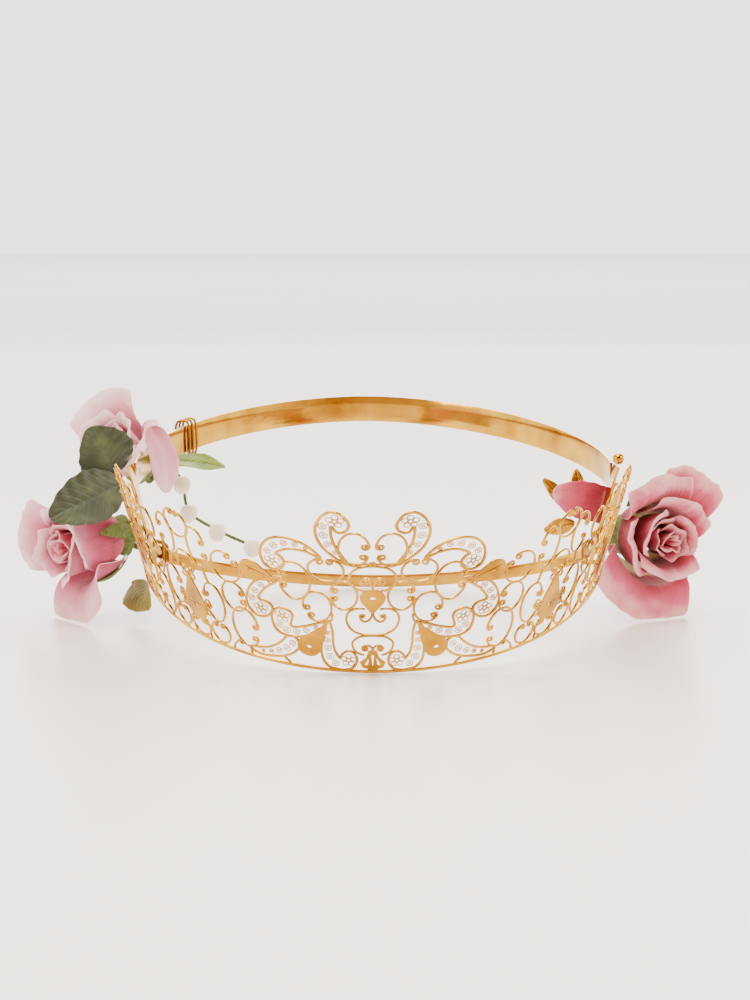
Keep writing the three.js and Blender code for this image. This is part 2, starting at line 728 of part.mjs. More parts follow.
addPiece('front_rail', frontRail(), gold);
addPiece('center_filigree', centreFiligree(), gold);
const rosetteOne = CENTRE_HALF_WIDTH + ROSETTE_HALF_WIDTH;
const linkMiddle = rosetteOne + ROSETTE_HALF_WIDTH + LINK_WIDTH / 2;
const rosetteTwo = linkMiddle + LINK_WIDTH / 2 + ROSETTE_HALF_WIDTH;
const endFrom = rosetteTwo + ROSETTE_HALF_WIDTH + CLEAR / 2;
for (const [side, mirror] of [['left', -1], ['right', 1]]) {
  addPiece(`${side}_inner_rosette`, rosetteFiligree(rosetteOne, mirror), gold);
  addPiece(`${side}_link`, linkFiligree(linkMiddle, mirror), gold);
  addPiece(`${side}_outer_rosette`, rosetteFiligree(rosetteTwo, mirror), gold);
  addPiece(`${side}_end_filigree`, endFiligree(endFrom, SIDE_SPAN, mirror), gold);
  addPiece(`${side}_end_plate`, endPlate(mirror), wireGold);
}
addPiece('rear_band', flatBand(rearCurve, REAR_BAND_WIDTH, 44), paleGold);
addPiece('lower_band', flatBand(lowerCurve, LOWER_BAND_WIDTH, 40), paleGold);

// ---- the roses, placed from the foot of an end plate: out, back and up from it -------------------------
const fromEnd = (side, out, back, up) => plateCorner(side, 0, 0).add(at(side * out, back, up));

const rightRose = new Rose(fromEnd(1, 18.8, 2.9, -1.5), at(0.35, -0.93, 0.05), 5.6, 10, [
  [20, 150, 13, 0.5],
  [150, 150, 13, 1],
  [265, 150, 13, 1.5],
  [60, 130, 13, 1.7],
  [190, 105, 12, 1.8],
  [100, 100, 12, 6],
  [60, 85, 10, 8],
  [245, 125, 8, 9.5],
]).standOnTable();
rightRose.add('right_rose', 12, rosePink, rosePink);

// One outer petal has slipped through between the two bands, behind the end plate.
const strayPetalEnds = [fromEnd(1, 7.4, 12.2, 8), fromEnd(1, -12, 10.9, 13)];
addPiece('right_rose_stray_petal', leafBlade(...strayPetalEnds, at(0, -1, 0.1), 11, 1.2), rosePink);

const lowerRose = new Rose(fromEnd(-1, 20.9, -4.6, -3), at(-0.75, -0.6, -0.1), 6.2, 9, [
  [200, 150, 11, 1],
  [330, 150, 11, 2],
  [80, 150, 10.5, 2.2],
  [170, 110, 10, 7.5],
  [20, 110, 9.5, 1.8],
  [285, 110, 8, 9.5],
]).standOnTable();
lowerRose.add('left_lower_rose', 9, midPink, rosePink);

const upperRose = new Rose(rearCurve(-0.76).add(at(-11.7, 0.5, REAR_BAND_WIDTH - 2.8)), at(-0.35, -0.6, 0.5), 5.2, 8, [
  [40, 150, 9, 1],
  [170, 150, 9, 2],
  [285, 150, 9, 3],
  [350, 110, 8, 5],
  [130, 110, 7, 7],
]);
upperRose.add('left_upper_rose', 8, palePink, midPink);

// One more outer petal hangs from the rim of the upper rose, inside the rear band.
const hangingPetalEnds = [fromEnd(-1, -1.6, 19.4, 31), fromEnd(-1, -3.2, 17.9, 12)];
addPiece('left_upper_rose_hanging_petal', leafBlade(...hangingPetalEnds, at(0.85, -0.5, 0.1), 14, 1.2), palePink);

// ---- leaves and the bud spray ---------------------------------------------------------------------
const upperLeafEnds = [fromEnd(-1, 9.5, -3.6, 20.5), fromEnd(-1, 17, -8, 34.5)];
addPiece('upper_dark_leaf', leafBlade(...upperLeafEnds, at(0.1, -1, 0.3), 17, 1.5), darkLeaf);
// The lower leaf lies over the lower rose, clear of the sphere that its petals fill.
const overRose = (out, back, up) => {
  const reach = lowerRose.heartRadius + lowerRose.gap(lowerRose.petals.length);
  return lowerRose.middle.clone().add(at(-out, back - reach, up + reach));
};
const lowerLeafEnds = [overRose(-13.4, 11.1, 5), overRose(6.3, -4.7, -3.4)];
addPiece('lower_dark_leaf', leafBlade(...lowerLeafEnds, at(0.1, -1, 0.2), 15, 1.3), darkLeaf);
// The low leaf nearly lies on the table, whatever the height of the end plate.
const lowLeafEnds = [fromEnd(-1, 6.2, 2.9, 0).setZ(9), fromEnd(-1, -0.3, -11.1, 0).setZ(3.7)];
addPiece('low_green_leaf', leafBlade(...lowLeafEnds, at(-0.6, -0.4, 0.6), 9, 0.9), lightLeaf);

// A soldered bead finishes the top of the right-hand end plate.
const bead = bud(plateCorner(1, PLATE_HIGH, SHEET / 2).add(at(0.2, 2.6, CLEAR + BEAD_RADIUS * 1.25)), BEAD_RADIUS);
addPiece('right_end_bead', bead, wireGold);

const goldLeaves = [
  [fromEnd(1, -2.9, 15.4, 7), fromEnd(1, -4.3, 20.9, 19)],
  [fromEnd(1, -4.3, 16.4, 6), fromEnd(1, -14.3, 20.9, 16)],
  [fromEnd(1, -4.8, 16.9, 3), fromEnd(1, -13.8, 20.9, 0)],
];
goldLeaves.forEach(([stalk, tip], i) => {
  addPiece(`gold_leaf_${i + 1}`, leafBlade(stalk, tip, at(0, -1, 0.2), 5, 0.6), wireGold);
});

// The spray hangs inside the rear band; its stem passes behind each bud.
const fromRearBand = (x, y, z) => rearCurve(-0.72).add(at(x, y, z));
const sprayLeafEnds = [fromRearBand(1.1, -2.3, 0.7), fromRearBand(19, -3.3, -1.3)];
addPiece('light_leaf', leafBlade(...sprayLeafEnds, at(0, -0.6, 0.8), 7, 1), lightLeaf);
const budSpray = [
  fromRearBand(5, 2.7, -7.3),
  fromRearBand(7, 2.7, -16.3),
  fromRearBand(16, 2.7, -22.3),
  fromRearBand(27, 2.7, -27.3),
];
budSpray.forEach((middle, i) => addPiece(`cream_bud_${i + 1}`, bud(middle, BUD_RADIUS), cream));
const behindBuds = budSpray.map((middle) => middle.clone().add(at(0, BUD_RADIUS + SPRAY_RADIUS + CLEAR, 0)));
const sprayStem = rodAlong([fromRearBand(2.1, 5.5, -2.3), ...behindBuds], SPRAY_RADIUS, 5, 14);
addPiece('bud_spray_stem', sprayStem, lightLeaf);

// ---- stems, tied on behind the end plates -----------------------------------------------------------
// Each stem: the place along its band where the tie starts, and bends on the way there.
const ties = [
  ['right', rightRose, lowerCurve, LOWER_BAND_WIDTH, 0.84, [fromEnd(1, 5.7, 24.9, -5)]],
  ['left_lower', lowerRose, lowerCurve, LOWER_BAND_WIDTH, -0.95, [fromEnd(-1, 6.7, 12.9, -3)]],
  ['left_upper', upperRose, rearCurve, REAR_BAND_WIDTH, -0.66, []],
];
for (const [name, rose, curve, width, tied, bends] of ties) {
  addPiece(`${name}_stem`, rose.stem(curve, width, tied, bends), darkLeaf);
  addPiece(`${name}_binding_wire`, bindingCoil(curve, width, tied + 0.035), wireGold);
}

export default tiara;
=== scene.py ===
import math
import random

import bpy
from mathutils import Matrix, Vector, noise


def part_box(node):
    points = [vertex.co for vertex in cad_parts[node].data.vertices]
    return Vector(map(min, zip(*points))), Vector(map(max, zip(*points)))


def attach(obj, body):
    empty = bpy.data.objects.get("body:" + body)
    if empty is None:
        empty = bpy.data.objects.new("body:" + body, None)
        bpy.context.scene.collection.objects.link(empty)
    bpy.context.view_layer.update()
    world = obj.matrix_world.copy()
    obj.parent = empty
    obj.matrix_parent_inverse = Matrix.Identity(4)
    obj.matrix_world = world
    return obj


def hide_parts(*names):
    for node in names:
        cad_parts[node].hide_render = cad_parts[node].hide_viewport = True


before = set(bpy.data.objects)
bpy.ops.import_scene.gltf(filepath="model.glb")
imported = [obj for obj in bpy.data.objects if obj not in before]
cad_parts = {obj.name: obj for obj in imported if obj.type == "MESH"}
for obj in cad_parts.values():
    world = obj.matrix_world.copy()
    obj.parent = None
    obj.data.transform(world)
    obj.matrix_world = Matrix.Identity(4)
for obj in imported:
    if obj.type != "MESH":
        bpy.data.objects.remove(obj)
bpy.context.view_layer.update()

MM = 0.001


# ---- Camera: a long lens a little above the table, looking slightly down at the front ----
bpy.ops.object.camera_add(location=(0.0006, -0.65, 0.1245), rotation=(math.radians(90 - 6.9), 0, 0))
camera = bpy.context.object
camera.data.lens = 90
camera.data.sensor_width = 36
camera.data.clip_start = 0.01
bpy.context.scene.camera = camera


# ---- Studio: a pale, softly glossy table and a few large soft lights ----
# The table is white laminate. It shows a faint, blurred image of what stands on it.
def linear(colour):
    """An sRGB hex colour as the linear values that shaders take."""
    channels = [int(colour[i:i + 2], 16) / 255 for i in (1, 3, 5)]
    return [c / 12.92 if c <= 0.04045 else ((c + 0.055) / 1.055) ** 2.4 for c in channels] + [1]


def add_node(tree, kind, settings=None, values=None, links=None):
    """A node with its settings, the values of its sockets, and links from other nodes' outputs."""
    node = tree.nodes.new(kind)
    for name, value in (settings or {}).items():
        setattr(node, name, value)
    for socket, value in (values or {}).items():
        node.inputs[socket].default_value = value
    for socket, output in (links or {}).items():
        tree.links.new(output, node.inputs[socket])
    return node


def new_material(name, **shader_values):
    """A material with its Principled shader set, and the two ends that the pattern nodes join."""
    material = bpy.data.materials.new(name)
    material.use_nodes = True
    shader = material.node_tree.nodes["Principled BSDF"]
    for socket, value in shader_values.items():
        shader.inputs[socket.replace("_", " ")].default_value = value
    return material, material.node_tree, shader


def colour_ramp(tree, factor, stops):
    ramp = add_node(tree, "ShaderNodeValToRGB", links={"Fac": factor})
    while len(ramp.color_ramp.elements) < len(stops):
        ramp.color_ramp.elements.new(0.5)
    for element, (place, colour) in zip(ramp.color_ramp.elements, stops):
        element.position = place
        element.color = linear(colour)
    return ramp.outputs["Color"]


def speckle(tree, place, scale, detail=2):
    """Soft noise over the given coordinates, as a value from 0 to 1."""
    texture = add_node(
        tree, "ShaderNodeTexNoise", values={"Scale": scale, "Detail": detail}, links={"Vector": place})
    return texture.outputs["Fac"]


def relief(tree, height, strength, distance, under=None):
    """A bump from a height, over another bump if one is given. The distance is in metres."""
    links = {"Height": height}
    if under:
        links["Normal"] = under
    bump = add_node(
        tree, "ShaderNodeBump", values={"Strength": strength, "Distance": distance}, links=links)
    return bump.outputs["Normal"]


def only(piece):
    """Selects one object alone and makes it active."""
    bpy.ops.object.select_all(action="DESELECT")
    piece.select_set(True)
    bpy.context.view_layer.objects.active = piece


bpy.ops.object.select_all(action="DESELECT")
bpy.ops.mesh.primitive_circle_add(vertices=96, radius=5, fill_type="NGON", location=(0, 0, -0.0002))
table_top = bpy.context.object
table_top.name = "table_top"
laminate, tree, shader = new_material("white_laminate", Roughness=0.3)
place = add_node(tree, "ShaderNodeTexCoord").outputs["Object"]
tint = colour_ramp(tree, speckle(tree, place, 3), [(0.3, "#f1edea"), (0.7, "#f5f2ef")])
tree.links.new(tint, shader.inputs["Base Color"])
table_top.data.materials.append(laminate)

soft_lights = [
    ("overhead_light", (-0.2, -0.1, 1.1), (0, 0, 0), 1.0, 22, "#fff8f0"),
    ("left_light", (-1.1, -0.5, 0.6), (0, math.radians(-62), 0), 0.5, 9, "#ffe9d4"),
    ("right_light", (1.0, -0.3, 0.7), (0, math.radians(58), 0), 0.4, 8, "#fff1e2"),
    ("back_light", (0.1, 1.3, 0.7), (math.radians(-60), 0, 0), 1.0, 12, "#ffffff"),
    ("background_light", (0, 3.2, 2.2), (0, 0, 0), 4.0, 260, "#ffffff"),
]
for name, location, turn, size, power, colour in soft_lights:
    bpy.ops.object.light_add(type="AREA", location=location, rotation=turn)
    light = bpy.context.object
    light.name = name
    light.data.size = size
    light.data.energy = power
    light.data.color = linear(colour)[:3]

# The room round the table: white walls at table height, a warm dark ceiling, and a warm tan wall
# behind the camera. The gold mirrors the ceiling and the tan wall, which gives it its depth.
world = bpy.data.worlds.new("pale_room")
bpy.context.scene.world = world
world.use_nodes = True
tree = world.node_tree
room = add_node(tree, "ShaderNodeTexCoord").outputs["Generated"]
direction = add_node(tree, "ShaderNodeSeparateXYZ", links={"Vector": room})
raised = add_node(
    tree, "ShaderNodeMapRange", values={"From Min": -0.1, "From Max": 1},
    links={"Value": direction.outputs["Z"]})
walls = colour_ramp(
    tree, raised.outputs["Result"],
    [(0, "#ece9e6"), (0.3, "#f3f1ef"), (0.45, "#b79f88"), (0.7, "#7a624c"), (1, "#6b5644")])
behind = add_node(
    tree, "ShaderNodeMapRange", values={"From Min": -0.85, "From Max": -0.1},
    links={"Value": direction.outputs["Y"]})
tan = colour_ramp(tree, behind.outputs["Result"], [(0, "#a98a62"), (0.6, "#d9c6a8"), (1, "#ffffff")])
room_colour = add_node(
    tree, "ShaderNodeVectorMath", settings={"operation": "MULTIPLY"}, links={0: walls, 1: tan})
tree.links.new(room_colour.outputs["Vector"], tree.nodes["Background"].inputs["Color"])
tree.nodes["Background"].inputs["Strength"].default_value = 3.3


# ---- Front filigree: brass sheet, stamped and pierced into scrolls, then bent round the brow ----
# Scroll wires are about 0.65 mm wide, the lace inside the leaf scrolls half of that. Each piece
# is drawn flat, u along the rail and v up the sheet in millimetres, and then bent.
RING_HALF_WIDTH = 66.5
RING_HALF_DEPTH = 86
TILT = math.radians(14.5)
FLARE = math.radians(14)
SIDE_SPAN = 126
SHEET_MIDDLE = 0.4
WIRE_RADIUS = 0.33
WIRE_RELIEF = 1.1
PLATE_HALF_THICKNESS = 0.24
LACE_SHARE = 0.42

# Distances along the rail from its middle, at even steps of the ellipse angle.
RAIL_SAMPLES = 1200
RAIL_STEP = math.pi * 0.8 / RAIL_SAMPLES
rail_run = [(0.0, 0.0)]
for i in range(1, RAIL_SAMPLES + 1):
    x = RING_HALF_WIDTH * (math.sin(i * RAIL_STEP) - math.sin((i - 1) * RAIL_STEP))
    y = RING_HALF_DEPTH * (math.cos(i * RAIL_STEP) - math.cos((i - 1) * RAIL_STEP))
    rail_run.append((i * RAIL_STEP, rail_run[-1][1] + math.hypot(x, y)))


def rail_angle(u):
    """The ellipse angle at a distance u along the rail."""
    length = abs(u)
    low, high = 0, len(rail_run) - 1
    while high - low > 1:
        middle = (low + high) // 2
        if rail_run[middle][1] <= length:
            low = middle
        else:
            high = middle
    share = (length - rail_run[low][1]) / (rail_run[high][1] - rail_run[low][1])
    return math.copysign(rail_run[low][0] + share * RAIL_STEP, u)


def ring_point(u, out, up):
    """A point beside the rail, in metres: out is level with the ring, up is square to it."""
    angle = rail_angle(u)
    tangent = Vector((RING_HALF_WIDTH * math.cos(angle), RING_HALF_DEPTH * math.sin(angle))).normalized()
    x = RING_HALF_WIDTH * math.sin(angle) + out * tangent.y
    back = RING_HALF_DEPTH * (1 - math.cos(angle)) - out * tangent.x
    y = back * math.cos(TILT) - up * math.sin(TILT)
    z = back * math.sin(TILT) + up * math.cos(TILT)
    return Vector((x, y, z)) * MM


def sheet_point(u, v, w):
    """A point of the flared sheet, in metres: w is how far it stands out from the sheet's back."""
    out = v * math.sin(FLARE) + w * math.cos(FLARE)
    up = v * math.cos(FLARE) - w * math.sin(FLARE)
    return ring_point(u, out, up)


def smooth_line(points, closed=False, steps=4):
    """A curve through given points, as closer points."""
    count = len(points)
    made = []
    for i in range(count if closed else count - 1):
        if closed:
            a, b, c, d = (points[(i + k) % count] for k in (-1, 0, 1, 2))
        else:
            a, b, c, d = (points[min(max(i + k, 0), count - 1)] for k in (-1, 0, 1, 2))
        for step in range(steps):
            t = step / steps
            weights = (
                -0.5 * t ** 3 + t * t - 0.5 * t,
                1.5 * t ** 3 - 2.5 * t * t + 1,
                -1.5 * t ** 3 + 2 * t * t + 0.5 * t,
                0.5 * t ** 3 - 0.5 * t * t,
            )
            made.append(tuple(sum(w * p[k] for w, p in zip(weights, (a, b, c, d))) for k in range(len(a))))
    if not closed:
        made.append(tuple(points[-1]))
    return made


def curled(line, radius, spin):
    """Goes on from the end of a line into a small spiral. spin is 1 to turn left, -1 to turn right."""
    (x0, y0), (x1, y1) = line[-2], line[-1]
    length = math.hypot(x1 - x0, y1 - y0)
    centre = (x1 - spin * (y1 - y0) / length * radius, y1 + spin * (x1 - x0) / length * radius)
    start = math.atan2(y1 - centre[1], x1 - centre[0])
    spiral = []
    for k in range(1, 13):
        share = k / 12
        reach = radius * (1 - 0.6 * share)
        angle = start + spin * share * math.radians(410)
        spiral.append((centre[0] + reach * math.cos(angle), centre[1] + reach * math.sin(angle)))
    return line + spiral


class Pattern:
    """The flat drawing of one filigree piece: wires, and filled shapes with their holes."""

    def __init__(self, middle=0, hand=1):
        self.middle = middle
        self.hand = hand
        self.wires = []
        self.plates = []

    def put(self, points):
        """The points moved to the piece's place on the rail, and mirrored for the left side."""
        return [(self.hand * (self.middle + u), v) for u, v in points]

    def wire(self, points, closed=False, share=1.0):
        self.wires.append((self.put(points), closed, share, False))

    def scroll(self, points, start_curl=0.0, end_curl=0.0, spin=1):
        """An open wire whose ends may curl, with a bead where a curl stops."""
        line = smooth_line(points)
        if end_curl:
            line = curled(line, end_curl, spin)
        if start_curl:
            line = curled(line[::-1], start_curl, -spin)
        self.wires.append((self.put(line), False, 1.0, bool(start_curl or end_curl)))

    def c_scroll(self, u, v, half_u, half_v, opening, gap=46, curl=0.95):
        """An oval wire, open on one side, whose two ends curl inwards."""
        start, end = math.radians(opening + gap / 2), math.radians(opening + 360 - gap / 2)
        line = []
        for i in range(29):
            angle = start + (end - start) * i / 28
            line.append((u + half_u * math.cos(angle), v + half_v * math.sin(angle)))
        line = curled(curled(line, curl, 1)[::-1], curl, -1)
        self.wires.append((self.put(line), False, 1.0, True))

    def ring(self, u, v, radius, share=1.0):
        points = []
        for i in range(14):
            angle = math.radians(i * 360 / 14)
            points.append((u + radius * math.cos(angle), v + radius * math.sin(angle)))
        self.wire(points, closed=True, share=share)

    def leaf(self, outline, rings, lobe):
        """A leaf scroll: a bold outline with lace rings along it and a rosette of lace in its lobe."""
        self.wire(smooth_line(outline, closed=True), closed=True, share=1.15)
        for u, v, radius in rings:
            self.ring(u, v, radius * 0.8, share=LACE_SHARE)
            self.ring(u, v, radius * 0.3, share=LACE_SHARE)
        if lobe:
            for k in range(5):
                angle = math.radians(72 * k + 20)
                u, v = lobe[0] + 1.3 * math.cos(angle), lobe[1] + 1.3 * math.sin(angle)
                self.ring(u, v, 0.68, share=LACE_SHARE)
            self.ring(lobe[0], lobe[1], 0.5, share=LACE_SHARE)

    def drop(self, tip, centre, radius, hole=0.75):
        """A solid drop with a pierced dot and a raised edge."""
        reach = Vector(tip) - Vector(centre)
        heading = math.atan2(reach.y, reach.x)
        start = math.acos(radius / reach.length)
        outline = [tip]
        for i in range(25):
            angle = heading + start + (2 * math.pi - 2 * start) * i / 24
            outline.append((centre[0] + radius * math.cos(angle), centre[1] + radius * math.sin(angle)))
        dot = []
        for i in range(16):
            angle = math.radians(i * 22.5)
            dot.append((centre[0] + hole * math.cos(angle), centre[1] + hole * 0.8 * math.sin(angle)))
        self.plates.append((self.put(outline), [self.put(dot)]))
        self.wire(outline, closed=True, share=0.95)
        self.wire(dot, closed=True, share=0.4)

    def plate(self, outline, holes=()):
        """A solid shape with a raised edge and pierced holes."""
        self.plates.append((self.put(outline), [self.put(hole) for hole in holes]))
        self.wire(outline, closed=True, share=0.8)


def flat_curve(name, splines, settings):
    """A curve object of straight-sided splines, each a list of points with a radius share."""
    curve = bpy.data.curves.new(name, "CURVE")
    for setting, value in settings.items():
        setattr(curve, setting, value)
    for points, closed, radii in splines:
        spline = curve.splines.new("POLY")
        spline.points.add(len(points) - 1)
        for target, (u, v), radius in zip(spline.points, points, radii):
            target.co = (u * MM, v * MM, 0, 1)
            target.radius = radius
        spline.use_cyclic_u = closed
    piece = bpy.data.objects.new(name, curve)
    bpy.context.scene.collection.objects.link(piece)
    only(piece)
    bpy.ops.object.convert(target="MESH")
    return piece


def wire_radii(count, share, beaded):
    """The wire's thickness along its length; a beaded end swells."""
    radii = [share] * count
    if beaded:
        radii[-1] = radii[-2] = share * 1.5
        radii[0] = share * 1.5
    return radii


def joined(parts, name):
    """One piece from several."""
    bpy.ops.object.select_all(action="DESELECT")
    for part in parts:
        part.select_set(True)
    bpy.context.view_layer.objects.active = parts[0]
    bpy.ops.object.join()
    parts[0].name = name
    return parts[0]


def bent_piece(name, pattern, material, slot, *nodes):
    """Makes the flat drawing solid, bends it round the ring, and lets it stand for its CAD nodes."""
    wires = [
        (line, closed, wire_radii(len(line), share, beaded))
        for line, closed, share, beaded in pattern.wires
    ]
    wire_settings = {
        "dimensions": "3D",
        "bevel_depth": WIRE_RADIUS * MM,
        "bevel_resolution": 2,
        "use_fill_caps": True,
    }
    parts = [flat_curve(name, wires, wire_settings)]
    for outline, holes in pattern.plates:
        splines = [(outline, True, [1] * len(outline))] + [(hole, True, [1] * len(hole)) for hole in holes]
        plate_settings = {"dimensions": "2D", "fill_mode": "BOTH", "extrude": PLATE_HALF_THICKNESS * MM}
        parts.append(flat_curve(name + "_plate", splines, plate_settings))
    piece = joined(parts, name)
    for vertex in piece.data.vertices:
        u, v, w = vertex.co / MM
        vertex.co = sheet_point(u, v, w * WIRE_RELIEF + SHEET_MIDDLE)
    piece.data.materials.clear()
    piece.data.materials.append(material)
    bpy.ops.object.shade_smooth_by_angle(angle=math.radians(40))
    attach(piece, "root")
    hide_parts(*nodes)
    return piece


# Gold plate over polished brass: warm yellow, mirror-like, with slow differences of tone from the
# plating bath and hair-fine polishing marks. Patches are about 12 mm, marks 0.3 mm wide.
def gold_plate(name, pale, warm, deep, roughness):
    material, tree, shader = new_material(name, Metallic=1.0)
    place = add_node(tree, "ShaderNodeTexCoord").outputs["Object"]
    tone = colour_ramp(tree, speckle(tree, place, 80, 3), [(0.3, deep), (0.5, warm), (0.72, pale)])
    tree.links.new(tone, shader.inputs["Base Color"])
    dull = add_node(
        tree, "ShaderNodeMapRange",
        values={"To Min": roughness * 0.75, "To Max": roughness * 1.4},
        links={"Value": speckle(tree, place, 1500, 4)},
    )
    tree.links.new(dull.outputs["Result"], shader.inputs["Roughness"])
    dents = relief(tree, speckle(tree, place, 260), 0.25, 0.0002)
    tree.links.new(dents, shader.inputs["Normal"])
    return material


filigree_gold = gold_plate("polished_gold_plate", "#deb038", "#cc9722", "#9c6a0e", 0.16)

centre = Pattern()
centre.plate([(-0.9, 7.6), (0.9, 7.6), (1.5, 5.2), (3.1, 3.6), (2.6, 2.2), (1.5, 1.9), (0.9, 1.3),
              (-0.9, 1.3), (-1.5, 1.9), (-2.6, 2.2), (-3.1, 3.6), (-1.5, 5.2)],
             [[(0.35, 6.2), (0, 2.2), (-0.35, 6.2)],
              [(0.9, 5.2), (2.1, 3.1), (1.3, 2.7)],
              [(-0.9, 5.2), (-1.3, 2.7), (-2.1, 3.1)]])
centre.drop((0, 19.8), (0, 24.9), 2.7)
centre.ring(0, 35.9, 0.55)
for hand in (1, -1):
    half = Pattern(0, hand)
    half.scroll([(0, 12.7), (3, 12.3), (4.9, 10.6), (4.9, 8.4), (3.8, 6.8), (2.2, 6.2)])
    half.scroll([(0, 7.4), (0.3, 8.7), (1.2, 9.4), (2.2, 9.1)], end_curl=0.85, spin=-1)
    half.scroll([(0, 12.9), (3, 13.2), (5.3, 14.8), (6.3, 17.5), (5.8, 20), (4.4, 21.3), (3, 21.6),
                 (1.7, 21.4)])
    half.scroll([(0, 19.8), (0.4, 18.6), (1, 17.7), (1.9, 17.3), (2.8, 17.9), (3, 19)], end_curl=0.6)
    half.scroll([(0, 27.6), (0.2, 29.2), (0.8, 30.8), (1.7, 31.2), (2.5, 30.5)], end_curl=0.85, spin=-1)
    half.scroll([(0, 35.3), (3.2, 34.6), (5.1, 32.4), (5.1, 29.7), (3.6, 27.9), (1.9, 27.4)])
    half.scroll([(0, 36), (2.5, 35.9), (5.5, 36.2)])
    half.c_scroll(6.7, 25.5, 3.2, 4.5, 5)
    half.c_scroll(13.2, 21.4, 3.5, 4.8, -28)
    half.c_scroll(10.5, 33.5, 4.1, 3.7, 88)
    half.c_scroll(18.3, 29, 3.9, 6, 0)
    half.c_scroll(4, 40.4, 3.4, 5.2, 190)
    half.c_scroll(34.4, 9.8, 4.1, 6.3, 195)
    half.c_scroll(36.3, 19.2, 3.7, 4.7, 178)
    half.c_scroll(37.2, 28.5, 4.5, 4.8, 130)
    half.scroll([(34, 1.1), (34.1, 3.4)])
    half.scroll([(22, 1.1), (24, 3.1)])
    half.scroll([(40.2, 1.1), (39.4, 2.8), (37.4, 4.6)], end_curl=0.8)
    half.scroll([(9.6, 19.3), (9.9, 17.3), (10.8, 17)])
    half.leaf(
        [(10.8, 17), (9.9, 14), (9.9, 10), (9.5, 7), (8.3, 4.8), (7.8, 6), (6.5, 7.3), (5, 7), (4, 5),
         (4.4, 2.7), (6, 1.3), (8.5, 1.1), (11.5, 1.9), (12.9, 4.5), (13, 8), (12.3, 11)],
        [(11.1, 13, 0.75), (11.3, 10.6, 0.95), (11.3, 8, 1.1), (10.9, 5.2, 1.2), (9.6, 3, 1.1)],
        (6.2, 4.2))
    half.leaf(
        [(11.5, 16.5), (13, 16), (16, 14.7), (19, 13.7), (20.5, 13.9), (20.3, 15.3), (19.8, 17),
         (20.3, 18.5), (22, 19.3), (23.5, 19), (25, 17.5), (25.6, 15), (25, 12), (23, 10.6), (20, 10.4),
         (17, 11), (14, 12.8), (12, 15.3)],
        [(14, 14.4, 0.75), (16.6, 13, 1), (19.2, 12.1, 1.1), (21.8, 12.2, 1.2), (23.7, 13.5, 1.1)],
        (22.6, 16.6))
    half.leaf(
        [(18.8, 8), (20, 5.5), (23, 3.4), (27, 2.3), (31, 2), (34, 3), (33.5, 3.8), (30, 4.4), (27, 5.5),
         (24, 7.8), (22, 10), (20, 10.2)],
        [(20.8, 8, 1.1), (22.6, 6, 1.2), (25, 4.7, 1), (27.5, 3.8, 0.8), (30, 3.2, 0.6)],
        None)
    half.leaf(
        [(21.5, 29), (23, 29), (27, 27.5), (30, 25), (32, 21), (32.3, 18), (31, 15.8), (29, 15), (27, 15.5),
         (25.5, 17), (25, 19), (26.3, 20.4), (28, 20.6), (28.6, 21.2), (28.2, 22), (26, 25), (23, 27.5)],
        [(24.6, 27.3, 0.8), (27.2, 25.6, 1), (29.2, 23.3, 1.1), (30.5, 20.7, 1.1)],
        (28.4, 17.8))
    half.leaf(
        [(11.5, 37.3), (13, 39.5), (15.5, 41.5), (18, 42.4), (21, 42.3), (23.5, 41), (25.3, 38.5),
         (25.9, 35.5), (25.3, 33), (23.7, 31.9), (22, 32), (20.5, 33), (20.2, 35), (21.3, 36.6),
         (21.9, 37.1), (19.5, 38.7), (17, 39.2), (14.5, 38.8), (12.3, 37.6)],
        [(14.6, 39.9, 0.7), (17, 40.8, 0.9), (19.6, 40.6, 1), (22.2, 39.4, 1.1), (24, 37.4, 1)],
        (23.1, 34.4))
    half.leaf(
        [(6, 35.8), (8.5, 38), (10.8, 40.7), (12, 44), (12, 47), (10.8, 50), (9, 51.8), (7.5, 51.9),
         (6, 50.8), (5, 48.5), (5.2, 46.8), (6.2, 45.8), (7.5, 45.8), (8.2, 46.8), (8.7, 47.2),
         (8.8, 45), (8.3, 42), (7, 39), (5.5, 36.1)],
        [(8, 39.4, 0.8), (9.6, 41.8, 1), (10.4, 44.6, 1.1), (10.5, 47.4, 1.1)],
        (7.8, 49.1))
    half.drop((11.5, 15.6), (16.3, 7.7), 2.9)
    half.drop((23, 28.4), (29.4, 29.9), 3)
    centre.wires += half.wires
    centre.plates += half.plates
bent_piece("center_filigree_scrollwork", centre, filigree_gold, "gold_filigree", "center_filigree")


# Each side has two rosettes, a large drop ringed by open scrolls, with a narrow link between
# them and an end piece behind. They are stamped from the same brass and soldered side by side.
ROSETTE_GRANULES = ((1.6, 20.4, 0.9), (5.3, 16.4, 0.8), (5.5, 13.4, 0.9), (5, 9.8, 0.8), (2.6, 6, 0.9))


